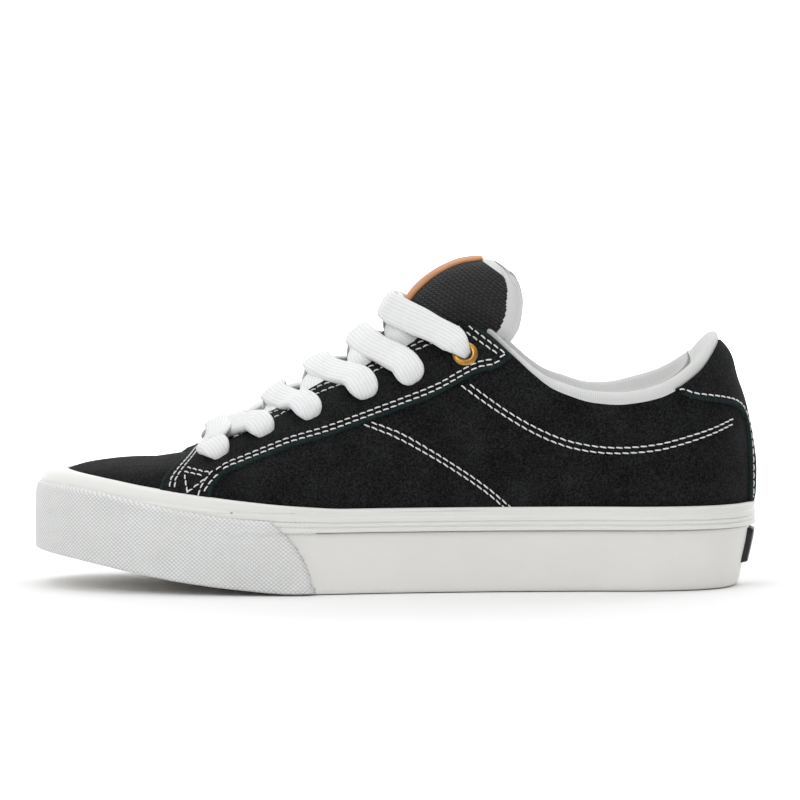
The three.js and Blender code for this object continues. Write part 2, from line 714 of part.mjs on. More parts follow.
// The room that an eyelet ring takes, with a clearance round it
function eyeletRingRoom(place) {
  const radius = EYELET_RING_RADIUS + CLEARANCE;
  const disc = new THREE.CylinderGeometry(radius, radius, EYELET_RING_THICKNESS + 2 * CLEARANCE, 16);
  disc.rotateX(Math.PI / 2);
  return solid(standOn(disc, place, RING_LIFT));
}

const topRingRooms = () => [eyelets.lateral.at(-1), eyelets.medial.at(-1)].map(eyeletRingRoom);

// Where the tongue and the padding may be: inside the upper, in the throat, above the collar
function clearOfUpper() {
  return formSolid(-UPPER_WALL - CLEARANCE, 6).add(throat(CLEARANCE)).add(aboveTopline(CLEARANCE));
}

// Height of the black edge where a ray of the form meets it
const toplineAt = (() => {
  const curve = columnCurve(TOPLINE, 'height');
  return (x) => TOPLINE_HEIGHT * curve(xToAlong(x));
})();

function toplineOn(spoke) {
  let height = TOPLINE_HEIGHT;
  for (let pass = 0; pass < 12; pass += 1) {
    height = (height + toplineAt(formPoint(spoke, height).x)) / 2;
  }
  return height;
}

// Padding of the collar: depth in shares of its thickness, inwards from the upper's inner face,
// height in shares of the rise above the black edge or of the depth below it
const COLLAR_OUTER = [
  { depth: 0.14, height: -1 },
  { depth: 0.04, height: -0.6 },
  { depth: 0, height: 0 },
  { depth: 0, height: 0.45 },
  { depth: 0.2, height: 0.85 },
];
const COLLAR_INNER = [
  { depth: 0.3, height: -1 },
  { depth: 0.8, height: -0.6 },
  { depth: 1, height: -0.12 },
  { depth: 0.92, height: 0.4 },
  { depth: 0.6, height: 0.95 },
];

function makeCollar() {
  const from = 0.675;
  const heelStart = STATIONS;
  const spokes = [
    ...range(6).map((i) => acrossRay(THREE.MathUtils.lerp(from, HEEL_CENTRE, i / 6), -1)),
    ...RING.slice(heelStart - 1, heelStart + HEEL_FAN),
    ...range(6).map((i) => acrossRay(THREE.MathUtils.lerp(HEEL_CENTRE, from, (i + 1) / 6), 1)),
  ];
  const sections = spokes.map((spoke) => {
    const edge = toplineOn(spoke);
    const place = ({ depth, height }) => {
      const z = edge + (height > 0 ? COLLAR_RISE : COLLAR_DEPTH) * height;
      const inward = UPPER_WALL + 2 * CLEARANCE + depth * COLLAR_THICKNESS;
      return outside(spoke, Math.min(z, edge), -inward).setZ(z);
    };
    return { outer: COLLAR_OUTER.map(place), inner: COLLAR_INNER.map(place) };
  });
  return solid(stripLoft(sections));
}

const tongue = columns(TONGUE, ['along', 'height', 'thick', 'wide', 'wrap', 'lean'], 'reach');

function tongueCrest(reach) {
  const along = tongue.along(reach);
  const height = TONGUE_HEIGHT * tongue.height(reach);
  return new THREE.Vector3(alongToX(along), form.side(along) * LAST_WIDTH, height);
}

// The tongue's section at a share of the way up: crest, directions along it, out of it and down
// its wings, and sizes
function tongueSection(reach) {
  const step = 0.04;
  const before = tongueCrest(Math.max(0, reach - step));
  const up = tongueCrest(Math.min(1, reach + step)).sub(before).setY(0).normalize();
  const lean = THREE.MathUtils.degToRad(tongue.lean(reach));
  return {
    crest: tongueCrest(reach),
    out: new THREE.Vector3(-up.z, 0, up.x),
    up,
    hang: new THREE.Vector3(Math.sin(lean), 0, -Math.cos(lean)),
    half: TONGUE_HALF_WIDTH * tongue.wide(reach),
    wrap: tongue.wrap(reach),
    thick: TONGUE_THICKNESS * tongue.thick(reach),
  };
}

// How far across and down a section is at a turn from -1 to 1, in shares of its sizes
function tongueTurn(turn) {
  const angle = (turn * Math.PI) / 2;
  const across = Math.sign(turn) * Math.abs(Math.sin(angle)) ** (2 / TONGUE_SQUARENESS);
  return { across, down: 1 - Math.cos(angle) ** (2 / TONGUE_SQUARENESS) };
}

// The turn at which a section is a distance from its middle
function turnAt(section, distance) {
  return (2 / Math.PI) * Math.asin((distance / section.half) ** (TONGUE_SQUARENESS / 2));
}

// The tongue's outward direction on a section, at a turn from -1 to 1 across it
function tongueNormal({ out, wrap }, turn) {
  const { across, down } = tongueTurn(turn);
  const power = TONGUE_SQUARENESS - 1;
  const sideways = Math.sign(across) * Math.abs(across) ** power * wrap;
  return new THREE.Vector3(0, sideways, 0).addScaledVector(out, (1 - down) ** power).normalize();
}

// A point of the tongue's section, sunk below its outer face
function tonguePoint(section, turn, sunk) {
  const { across, down } = tongueTurn(turn);
  return section.crest
    .clone()
    .addScaledVector(section.hang, section.half * section.wrap * down)
    .add(new THREE.Vector3(0, section.half * across, 0))
    .addScaledVector(tongueNormal(section, turn), -sunk);
}

const TONGUE_TURNS = [-0.94, -0.78, -0.58, -0.38, -0.19, 0, 0.19, 0.38, 0.58, 0.78, 0.94];

// The whole tongue, grown all round by a margin, before the upper squeezes it
function tongueBody(margin) {
  const sections = TONGUE.map(({ reach }) => {
    const section = tongueSection(reach);
    const depth = (turn) => section.thick * (1 - 0.55 * Math.abs(turn) ** 4) + margin;
    return {
      outer: TONGUE_TURNS.map((turn) => tonguePoint(section, turn, -margin)),
      inner: TONGUE_TURNS.map((turn) => tonguePoint(section, turn, depth(turn))),
    };
  });
  return solid(stripLoft(sections));
}

const makeTongue = () =>
  tongueBody(0).intersect(clearOfUpper()).subtract(unionOf(topRingRooms()));

// The patch on the tongue between two heights over its face, wider and longer by a margin
function labelBody(low, high, margin) {
  const sections = TONGUE_LABEL_REACHES.map((reach, i) => {
    const section = tongueSection(reach);
    const end = { 0: -1, [TONGUE_LABEL_REACHES.length - 1]: 1 }[i] ?? 0;
    section.crest.addScaledVector(section.up, end * margin);
    const edge = turnAt(section, TONGUE_LABEL_HALF_WIDTH + margin);
    const turns = [-1, -0.6, -0.3, 0, 0.3, 0.6, 1].map((share) => edge * share);
    return {
      outer: turns.map((turn) => tonguePoint(section, turn, -high)),
      inner: turns.map((turn) => tonguePoint(section, turn, -low)),
    };
  });
  return solid(stripLoft(sections));
}

const makeTongueLabel = () =>
  labelBody(2 * CLEARANCE, 2 * CLEARANCE + TONGUE_LABEL_THICKNESS, 0).subtract(tongueBody(CLEARANCE));

// Along the throat, from the bottom eyelets to the top ones
const throatSlope = eyelets.lateral.at(-1).point.clone().sub(eyelets.lateral[0].point).setY(0).normalize();

// How far up the tongue a point beside the throat is
function reachOf(point) {
  let low = 0;
  let high = 1;
  for (let pass = 0; pass < 24; pass += 1) {
    const middle = (low + high) / 2;
    if (point.clone().sub(tongueCrest(middle)).dot(throatSlope) > 0) low = middle;
    else high = middle;
  }
  return low;
}

// A flat strand through places, each a point with the direction that its flat side faces
function strand(path) {
  const loop = LACE_PROFILE.length;
  const points = path.flatMap(({ point, face }, i) => {
    const before = path[Math.max(0, i - 1)].point;
    const after = path[Math.min(path.length - 1, i + 1)].point;
    const forward = after.clone().sub(before).normalize();
    const wide = forward.clone().cross(face).normalize();
    const up = wide.clone().cross(forward).normalize();
    return LACE_PROFILE.map(({ across, up: lift }) =>
      point.clone().addScaledVector(wide, across * LACE_WIDTH).addScaledVector(up, lift * LACE_THICKNESS),
    );
  });
  const triangles = [];
  for (let s = 0; s < path.length - 1; s += 1) {
    for (let i = 0; i < loop; i += 1) {
      const a = s * loop + i;
      const b = s * loop + ((i + 1) % loop);
      triangles.push([a, b, b + loop], [a, b + loop, a + loop]);
    }
  }
  const finish = (path.length - 1) * loop;
  for (let i = 1; i < loop - 1; i += 1) {
    triangles.push([0, i + 1, i], [finish, finish + i, finish + i + 1]);
  }
  return solid(geometryFrom(points, triangles));
}

// Where a strand rests over the eyestay, above an eyelet
function overEyelet({ point, normal }) {
  const lift = OVERLAY_THICKNESS + 2 * CLEARANCE + LACE_LIFT + LACE_THICKNESS / 2;
  return { point: point.clone().addScaledVector(normal, lift), face: normal };
}

// A crossing strand: it comes out under the eyestay's edge beside one eyelet, passes over the
// tongue, humped where it lies on another strand, and ends over an eyelet on the other side
function crossingStrand(start, end, side, hump) {
  const from = reachOf(start.point);
  const to = reachOf(end.point);
  const steps = 6;
  const over = range(steps + 1).map((i) => {
    const t = i / steps;
    const section = tongueSection(THREE.MathUtils.lerp(from, to, t));
    const edge = turnAt(section, THROAT_HALF_WIDTH);
    const turn = side * edge * (1 - 2 * t);
    const lift = LACE_THICKNESS / 2 + 3 * CLEARANCE + hump * Math.sin(Math.PI * t) ** 4;
    return { point: tonguePoint(section, turn, -lift), face: tongueNormal(section, turn) };
  });
  return strand([...over, overEyelet(end)]);
}

// The straight bar of the bottom row, over the foot of the throat
function laceBar({ along, rise }) {
  const climb = [rise, THREE.MathUtils.lerp(rise, 1, 0.5), 0.99];
  const places = [
    ...climb.map((r) => archPlace(along, SIDES.lateral, r)),
    ...climb.reverse().map((r) => archPlace(along, SIDES.medial, r)),
  ];
  return strand(places.map(overEyelet));
}

function makeLaces() {
  const { lateral, medial } = eyelets;
  const strands = [laceBar(lateral[0])];
  for (let i = 0; i < EYELETS.length - 1; i += 1) {
    strands.push(crossingStrand(lateral[i], medial[i + 1], SIDES.lateral, 0));
    strands.push(crossingStrand(medial[i], lateral[i + 1], SIDES.medial, LACE_THICKNESS));
  }
  const bodies = [
    formSolid(2 * CLEARANCE + OVERLAY_THICKNESS),
    tongueBody(CLEARANCE),
    labelBody(0, 3 * CLEARANCE + TONGUE_LABEL_THICKNESS, CLEARANCE),
    ...topRingRooms(),
  ];
  return unionOf(strands).subtract(unionOf(bodies));
}

// Sole

function ringRow(height, out) {
  return RING.map((spoke) => {
    const x = spoke.base.x;
    return spoke.base.clone().addScaledVector(spoke.normal, out(x)).setZ(height(x));
  });
}

const centreRow = (height) => RING.map(({ centre }) => centre.clone().setZ(height(centre.x)));

// Outer face of the smooth wall, out from the last's line, at a share of its height
function wallOut(x, rise) {
  const along = xToAlong(x);
  const profile = WALL_PROFILE.map((row) => ({ along: row.rise, tuck: row.tuck }));
  return FOXING_OUT * sole.flare(along) - WALL_TUCK * sole.tuck(along) * columnCurve(profile, 'tuck')(rise);
}

const wallFootAt = (x) => groundAt(x) + CLEARANCE;
const wallHeightAt = (x, rise) => THREE.MathUtils.lerp(wallFootAt(x), rimAt(x), rise);

function makeMidsole() {
  const side = WALL_PROFILE.map(({ rise }) =>
    ringRow((x) => wallHeightAt(x, rise), (x) => wallOut(x, rise)),
  );
  const body = solid(ringLoft([centreRow(wallFootAt), ...side, centreRow(rimAt)]));
  const cupEdge = -UPPER_WALL - 1.5;
  const cup = ringLoft([
    centreRow(bedAt),
    ringRow(bedAt, () => cupEdge - 3),
    ringRow((x) => bedAt(x) + 3, () => cupEdge),
    ringRow((x) => rimAt(x) + 5, () => cupEdge),
    centreRow((x) => rimAt(x) + 5),
  ]);
  const recessTop = (x) => groundAt(x) + OUTSOLE_THICKNESS + CLEARANCE;
  const recess = ringLoft([
    centreRow((x) => groundAt(x) - 5),
    ringRow((x) => groundAt(x) - 5, (x) => wallOut(x, 0) - OUTSOLE_INSET),
    ringRow(recessTop, (x) => wallOut(x, 0) - OUTSOLE_INSET),
    centreRow(recessTop),
  ]);
  return body.subtract(solid(cup)).subtract(solid(recess));
}

function makeOutsole() {
  const edge = (x) => wallOut(x, 0) - OUTSOLE_INSET - CLEARANCE;
  const top = (x) => groundAt(x) + OUTSOLE_THICKNESS;
  const slab = solid(
    ringLoft([centreRow(groundAt), ringRow(groundAt, edge), ringRow(top, edge), centreRow(top)]),
  );
  const grooves = GROOVES.map((along) => {
    const x = alongToX(along);
    const slope = Math.atan2(groundAt(x + 4) - groundAt(x - 4), 8);
    const cutter = new THREE.BoxGeometry(GROOVE_WIDTH, BALL_WIDTH, 2 * GROOVE_DEPTH);
    cutter.rotateY(-slope);
    cutter.translate(x, 0, groundAt(x));
    return solid(cutter);
  });
  return slab.subtract(unionOf(grooves));
}

function makeInsole() {
  const foot = (x) => bedAt(x) + CLEARANCE;
  const edge = -UPPER_WALL - 4.5 - 3 * CLEARANCE;
  const rise = (share, lift) => (x) => foot(x) + INSOLE_THICKNESS * share + lift;
  return solid(
    ringLoft([
      centreRow(foot),
      ringRow(foot, () => edge),
      ringRow(rise(0.8, 1), () => edge + 2.6),
      ringRow(rise(1, 1), () => edge + 1.8),
      ringRow(rise(1, 0), () => edge - 8),
      centreRow(rise(1, 0)),
    ]),
  );
}

function foxingFace(spoke, rise, out) {
  const x = spoke.base.x;
  return outside(spoke, THREE.MathUtils.lerp(rimAt(x) + CLEARANCE, foxingTopAt(x), rise), out);
}

function makeFoxing() {
  const outer = RIBS.map(({ rise, proud }) =>
    RING.map((spoke) => foxingFace(spoke, rise, CLEARANCE + FOXING_THICKNESS * proud)),
  );
  const inner = [1, 0].map((rise) => RING.map((spoke) => foxingFace(spoke, rise, 0)));
  return solid(ringLoft([...outer, ...inner], true)).subtract(formSolid(CLEARANCE, 6));
}

function makeBumper() {
  const rear = alongToX(0.4);
  const count = RING.length;
  const first = RING.findIndex((s, i) => i > STATIONS + HEEL_FAN && s.base.x < rear);
  const lateralCount = RING.findIndex((s) => s.base.x > rear) + 1;
  const spokes = range(count - first + lateralCount + 1).map((i) => RING[(first - 1 + i) % count]);
  const face = (spoke, out) =>
    BUMPER_ROWS.map(({ rise, thick }) => {
      const x = spoke.base.x;
      const z = THREE.MathUtils.lerp(groundAt(x) + 3 * CLEARANCE, bumperTopAt(x), rise);
      const share = (z - wallFootAt(x)) / (rimAt(x) - wallFootAt(x));
      const backing = share < 1 ? Math.max(0, wallOut(x, share)) : FOXING_OUT;
      return outside(spoke, z, backing + 2 * CLEARANCE + out * thick * BUMPER_THICKNESS);
    });
  const sections = spokes.map((spoke) => ({ outer: face(spoke, 1), inner: face(spoke, 0) }));
  const end = BUMPER_REAR.map(({ along, height }) => [alongToX(along), BUMPER_HEIGHT * height]);
  const toe = [
    [-LENGTH, -LENGTH],
    [end[end.length - 1][0], -LENGTH],
  ];
  return solid(stripLoft(sections)).intersect(sidePrism([...end, toe[1], toe[0], [-LENGTH, LENGTH]]));
}

function makeHeelLabel() {
  const low = (LABEL_TOP - LABEL_HEIGHT - CLEARANCE) / (RIM_HEIGHT - CLEARANCE);
  const high = (LABEL_TOP - CLEARANCE) / (RIM_HEIGHT - CLEARANCE);
  const rises = [low, (low + high) / 2, high];
  const turns = range(5).map((i) => THREE.MathUtils.degToRad(-22 + 11 * i));
  const face = (spoke, proud) =>
    rises.map((rise) => {
      const x = spoke.base.x;
      return spoke.base
        .clone()
        .addScaledVector(spoke.normal, wallOut(x, rise) + proud)
        .setZ(wallHeightAt(x, rise));
    });
  const sections = turns.map((turn) => {
    const spoke = fanRay(HEEL_CENTRE, turn);
    return { outer: face(spoke, CLEARANCE + LABEL_THICKNESS), inner: face(spoke, CLEARANCE) };
  });
  return solid(stripLoft(sections));
}

const leather = { roughness: 0.85, metalness: 0 };
const rubber = { roughness: 0.6, metalness: 0 };
const cloth = { roughness: 0.9, metalness: 0 };
const metal = { roughness: 0.35, metalness: 1 };

const PIECES = {
  outsole: { make: makeOutsole, colour: 0xd9d6cc, ...rubber },
  midsole: { make: makeMidsole, colour: 0xe4e3de, ...rubber },
  foxing: { make: makeFoxing, colour: 0xf0f0ee, ...rubber },
  toe_bumper: { make: makeBumper, colour: 0xf4f4f2, ...rubber },
  heel_label: { make: makeHeelLabel, colour: 0x17181a, ...rubber },
  insole: { make: makeInsole, colour: 0xd8d6d0, ...cloth },
  upper: { make: makeUpper, colour: 0x1b1c1e, ...leather },
  eyestay: { make: makeEyestay, colour: 0x222326, ...leather },
  heel_patch: { make: makeHeelPatch, colour: 0x202124, ...leather },
  collar: { make: makeCollar, colour: 0xeeeeec, ...cloth },
  tongue: { make: makeTongue, colour: 0x2a2b2d, ...cloth },
  tongue_label: { make: makeTongueLabel, colour: 0xc8966e, ...leather },
  laces: { make: makeLaces, colour: 0xf5f5f3, ...cloth },
  eyelet_lateral: { make: () => makeEyeletRing(eyelets.lateral.at(-1)), colour: 0xbe913c, ...metal },
  eyelet_medial: { make: () => makeEyeletRing(eyelets.medial.at(-1)), colour: 0xbe913c, ...metal },
};

const shoe = new THREE.Group();
Object.entries(PIECES).forEach(([name, { make, colour, roughness, metalness }]) => {
  const material = new THREE.MeshStandardMaterial({ color: colour, roughness, metalness });
  const mesh = new THREE.Mesh(geometryOf(make()), material);
  mesh.name = name;
  shoe.add(mesh);
});

export default shoe;
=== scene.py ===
"""Looks of a low skateboarding shoe for the left foot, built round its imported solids."""

import math

import bmesh
import bpy
import numpy as np
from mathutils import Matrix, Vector
from mathutils.geometry import delaunay_2d_cdt
from mathutils.kdtree import KDTree


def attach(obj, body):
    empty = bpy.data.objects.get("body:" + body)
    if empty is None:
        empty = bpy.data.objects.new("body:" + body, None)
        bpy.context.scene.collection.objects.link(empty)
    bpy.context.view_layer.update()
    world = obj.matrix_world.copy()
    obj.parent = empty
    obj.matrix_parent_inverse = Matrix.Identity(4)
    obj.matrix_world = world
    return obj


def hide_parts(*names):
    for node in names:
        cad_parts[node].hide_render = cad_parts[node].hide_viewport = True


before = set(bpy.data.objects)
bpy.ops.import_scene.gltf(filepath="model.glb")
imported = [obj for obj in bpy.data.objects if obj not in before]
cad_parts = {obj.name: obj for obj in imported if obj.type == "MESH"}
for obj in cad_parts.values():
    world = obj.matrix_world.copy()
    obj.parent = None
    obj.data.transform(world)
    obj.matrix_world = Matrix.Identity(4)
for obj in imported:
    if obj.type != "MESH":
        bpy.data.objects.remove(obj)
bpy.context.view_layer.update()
MM = 0.001

# Sizes of the part, in millimetres: toe towards -X, heel +X, outer side -Y, up +Z
LENGTH = 297
BALL_WIDTH = 107
INSTEP_HEIGHT = 127
SHOULDER_HEIGHT = 34
CLEARANCE = 0.3
UPPER_WALL = 2.4
OVERLAY_THICKNESS = 1.3
HEEL_BULGE = 2
HEEL_LIP = 2.2
LIP_START, LIP_RUN = 132, 12
LIP_HEIGHT, LIP_SPREAD = 96, 7
TOPLINE_HEIGHT = 77
THROAT_HALF_WIDTH = 18
THROAT_FOOT_RADIUS = 15
EYELET_HOLE_RADIUS = 2.3
EYELET_OPENING = 3.6
COLLAR_THICKNESS = 8
COLLAR_DEPTH = 34
BINDING_COVER = 4
TONGUE_THICKNESS = 8.5
TONGUE_SQUARENESS = 2.8
TONGUE_LABEL_THICKNESS = 0.6
TONGUE_LABEL_HALF_WIDTH = 12
TONGUE_LABEL_LENGTH = 42
TONGUE_LABEL_CORNER = 4
LACE_WIDTH = 12.2
LACE_THICKNESS = 4.2
FOXING_HEIGHT = 35
FOXING_THICKNESS = 2.5
RIM_HEIGHT = 25.3
TOE_SPRING = 15
BUMPER_THICKNESS = 1.5
BUMPER_HEIGHT = 43.5
TOE_SWELL = 1.9
FOOTBED_HEIGHT = 14
INSOLE_THICKNESS = 4.5
OUTSOLE_THICKNESS = 4
OUTSOLE_INSET = 5
WALL_TUCK = 4.9
LABEL_HEIGHT = 14.5
LABEL_THICKNESS = 2
LABEL_TOP = 24
LABEL_TURN = 14
LABEL_HALF_WIDTH = 10
LABEL_CORNER = 2.2
LABEL_RIM = 0.7
BUMPER_RIM = 1.8

OVERLAY_TOP = OVERLAY_THICKNESS + CLEARANCE
LACE_REST = OVERLAY_TOP + LACE_THICKNESS / 2
FOXING_OUT = CLEARANCE + FOXING_THICKNESS
BUMPER_OUT = FOXING_OUT + 2 * CLEARANCE + BUMPER_THICKNESS
LAST_TOE = -LENGTH / 2 + BUMPER_OUT
LAST_LENGTH = LENGTH - BUMPER_OUT - FOXING_OUT
LAST_WIDTH = BALL_WIDTH - 2 * FOXING_OUT

# Plan outline of the last, from the toe down the inner side, round the heel and back
OUTLINE = dict(
    along=[0, 0.025, 0.07, 0.14, 0.21, 0.285, 0.37, 0.47, 0.57, 0.66, 0.76, 0.87, 0.945, 0.985, 1,
           0.985, 0.945, 0.87, 0.76, 0.66, 0.57, 0.47, 0.4, 0.34, 0.27, 0.2, 0.13, 0.07, 0.025],
    across=[0.07, 0.265, 0.385, 0.455, 0.49, 0.5, 0.478, 0.415, 0.357, 0.337, 0.353, 0.372, 0.3, 0.17, 0,
            -0.165, -0.29, -0.358, -0.357, -0.37, -0.395, -0.437, -0.476, -0.5,
            -0.487, -0.44, -0.37, -0.275, -0.135],
)

# Sections of the closed form that the upper follows
FORM = dict(
    along=[0.155, 0.2, 0.222, 0.262, 0.33, 0.385, 0.45, 0.515, 0.58, 0.65, 0.76, 0.865],
    ridge=[0.409, 0.426, 0.443, 0.492, 0.583, 0.672, 0.757, 0.858, 0.965, 1, 0.96, 0.896],
    side=[0.045, 0.04, 0.038, 0.035, 0.03, 0.026, 0.022, 0.018, 0.015, 0.012, 0.01, 0.006],
    fullness=[2.8, 2.75, 2.7, 2.6, 2.35, 2.15, 2.05, 2, 2, 2, 2.1, 2.2],
    bulge=[0, 0.1, 0.2, 0.3, 0.4, 0.5, 0.5, 0.5, 0.5, 0.6, 0.8, 1],
)

# Sole heights and offsets by place along the last, in shares of the sole's sizes
SOLE = dict(
    along=[-0.02, 0.05, 0.09, 0.14, 0.2, 0.29, 0.36, 0.43, 0.7, 1.02],
    ground=[1, 0.83, 0.69, 0.5, 0.31, 0.11, 0, 0, 0, 0],
    foxing=[1.38, 1.335, 1.3, 1.243, 1.177, 1.088, 1.033, 1, 1, 1],
    rim=[1.1, 1.09, 1.075, 1.05, 1.02, 1, 1, 1, 1, 1],
    bumper=[1, 0.965, 0.93, 0.86, 0.786, 0.715, 0.69, 0.68, 0.68, 0.68],
    bed=[1.57, 1.5, 1.36, 1.18, 0.98, 0.86, 0.84, 0.86, 1, 1],
    flare=[1, 1, 1, 1, 0.95, 0.75, 0.45, 0.3, 0.15, 0.15],
    tuck=[0, 0.03, 0.06, 0.1, 0.15, 0.25, 0.35, 0.45, 0.6, 1],
)

# Side of the ribbed strip, and of the smooth wall below it
RIBS = dict(
    rise=[0, 0.04, 0.16, 0.215, 0.27, 0.36, 0.41, 0.46, 0.62, 0.68, 0.74, 0.92, 1],
    proud=[0.8, 1, 1, 0.72, 0.96, 0.96, 0.72, 0.95, 0.97, 0.82, 0.86, 0.8, 0.5],
)
WALL_PROFILE = dict(rise=[0, 0.05, 0.4, 0.8, 1], tuck=[1.15, 0.97, 0.6, 0.15, 0])

# Black edge of the collar, edges of the eyestay and of the heel patch, seen from the side
TOPLINE = dict(
    along=[0.578, 0.595, 0.624, 0.663, 0.69, 0.712, 0.734, 0.776, 0.81, 0.84, 0.868, 0.89,
           0.911, 0.93, 0.955],
    height=[1.47, 1.42, 1.365, 1.238, 1.147, 1.09, 1.058, 1.01, 1, 1.012, 1.035, 1.07, 1.12, 1.18, 1.31],
)
EYESTAY_LOWER = dict(
    along=[0.662, 0.652, 0.635, 0.615, 0.592, 0.551, 0.501, 0.45, 0.4, 0.35, 0.319, 0.279,
           0.264, 0.252, 0.244, 0.241],
    height=[1.235, 1.208, 1.173, 1.16, 1.116, 1.032, 0.96, 0.891, 0.825, 0.77, 0.725,
            0.664, 0.642, 0.605, 0.566, 0.5],
)
EYESTAY_FRONT = dict(
    along=[0.168, 0.169, 0.179, 0.194, 0.21, 0.2215],
    height=[0.5, 0.568, 0.626, 0.677, 0.726, 0.76],
)
HEEL_PATCH_EDGE = dict(
    along=[0.881, 0.894, 0.915, 0.937, 0.961, 0.9755, 0.9845, 0.99, 0.9945, 0.9965, 0.9965],
    height=[1.07, 1.048, 1.018, 1.005, 0.988, 0.969, 0.94, 0.901, 0.82, 0.68, 0.42],
)
EYELETS = dict(
    along=[0.25, 0.316, 0.38, 0.457, 0.522, 0.595],
    rise=[0.8, 0.82, 0.765, 0.745, 0.705, 0.69])
BUMPER_REAR = dict(
    along=[0.3, 0.322, 0.336, 0.355, 0.37, 0.379, 0.383],
    height=[1.2, 0.695, 0.625, 0.488, 0.322, 0.161, -0.05],
)

# Tongue from its hidden foot to its top edge: crest and wing edge in millimetres, seen from the side
TONGUE = dict(
    reach=[0, 0.1, 0.25, 0.4, 0.55, 0.68, 0.78, 0.87, 0.93, 0.97, 1],
    crest_x=[-75.6, -67.8, -51.6, -33.9, -15.4, -1.3, 8.3, 20.3, 29, 35.5, 41],
    crest_z=[47.7, 57.8, 70.6, 83.9, 96, 107.6, 122.4, 131, 134, 134.5, 134.1],
    edge_x=[-70, -60, -42, -20, 8, 30, 46, 52, 52.8, 51.4, 48.4],
    edge_z=[42, 51, 60, 68, 76, 86, 98, 108.5, 117, 124, 128.8],
    half=[19.8, 21.8, 23.8, 24.5, 26, 27, 28, 28, 26.5, 23.5, 19],
    thick=[0.4, 0.6, 0.75, 0.85, 0.95, 1, 1, 1, 1, 1, 0.9],
)


# Curves and the plan of the last

def smooth_curve(places, values):
    """A smooth function through a table's rows, without overshoot between them"""
    places, values = np.array(places, float), np.array(values, float)
    steps = np.diff(values) / np.diff(places)
    slopes = np.zeros(len(places))
    slopes[0], slopes[-1] = steps[0], steps[-1]
    product = steps[:-1] * steps[1:]
    total = steps[:-1] + steps[1:]
    same = product > 0
    slopes[1:-1][same] = 2 * product[same] / total[same]

    def at(place):
        place = np.clip(place, places[0], places[-1])
        i = np.clip(np.searchsorted(places, place, side="right") - 1, 0, len(places) - 2)
        span = places[i + 1] - places[i]
        t = (place - places[i]) / span
        level = values[i] * (1 + 2 * t) * (1 - t) ** 2 + values[i + 1] * t * t * (3 - 2 * t)
        return level + span * (slopes[i] * t * (1 - t) ** 2 - slopes[i + 1] * t * t * (1 - t))

    return at


def columns(table, place):
    return {name: smooth_curve(table[place], table[name]) for name in table if name != place}


form, sole = columns(FORM, "along"), columns(SOLE, "along")
tuck_profile = smooth_curve(WALL_PROFILE["rise"], WALL_PROFILE["tuck"])
topline_height = smooth_curve(TOPLINE["along"], TOPLINE["height"])


def to_x(along):
    return LAST_TOE + np.asarray(along, float) * LAST_LENGTH


def to_along(x):
    return (np.asarray(x, float) - LAST_TOE) / LAST_LENGTH


def ground_at(x):
    return TOE_SPRING * sole["ground"](to_along(x))


def foxing_top_at(x):
    return FOXING_HEIGHT * sole["foxing"](to_along(x))


def rim_at(x):
    return RIM_HEIGHT * sole["rim"](to_along(x))


def bumper_top_at(x):
    return BUMPER_HEIGHT * sole["bumper"](to_along(x))


def bed_at(x):
    return FOOTBED_HEIGHT * sole["bed"](to_along(x))


def topline_at(x):
    return TOPLINE_HEIGHT * topline_height(to_along(x))


def spline(points, per, closed=False):
    """A centripetal spline through points, with so many samples to a span"""
    points = np.asarray(points, float)
    count = len(points)
    if not closed:
        points = np.vstack([2 * points[0] - points[1], points, 2 * points[-1] - points[-2]])
    spans = range(count) if closed else range(1, count)
    t = (np.arange(per) / per)[:, None]
    found = []
    for i in spans:
        p0, p1, p2, p3 = (points[(i + k) % len(points)] for k in (-1, 0, 1, 2))
        a, b, c = (max(1e-3, np.linalg.norm(q - p) ** 0.5) for p, q in ((p0, p1), (p1, p2), (p2, p3)))
        start = ((p1 - p0) / a - (p2 - p0) / (a + b) + (p2 - p1) / b) * b
        end = ((p2 - p1) / b - (p3 - p1) / (b + c) + (p3 - p2) / c) * b
        cubic = 2 * p1 - 2 * p2 + start + end
        square = -3 * p1 + 3 * p2 - 2 * start - end
        found.append(p1 + t * start + t**2 * square + t**3 * cubic)
    if not closed:
        found.append(points[-2][None])
    return np.vstack(found)


def distances(points):
    """How far along a line each of its points is"""
    return np.concatenate([[0], np.cumsum(np.linalg.norm(np.diff(points, axis=0), axis=1))])


def resample(points, step):
    """The same line with points an even step apart"""
    far = distances(points)
    count = max(2, int(round(far[-1] / step)) + 1)
    places = np.linspace(0, far[-1], count)
    return np.stack([np.interp(places, far, points[:, k]) for k in range(points.shape[1])], axis=1)


outline = np.stack([to_x(OUTLINE["along"]), np.array(OUTLINE["across"]) * LAST_WIDTH], axis=1)
outline = spline(outline, 40, True)
outline_edges = np.roll(outline, -1, axis=0) - outline
outline_tangents = np.roll(outline, -1, axis=0) - np.roll(outline, 1, axis=0)
outline_normals = np.stack([-outline_tangents[:, 1], outline_tangents[:, 0]], axis=1)
outline_normals /= np.linalg.norm(outline_normals, axis=1)[:, None]


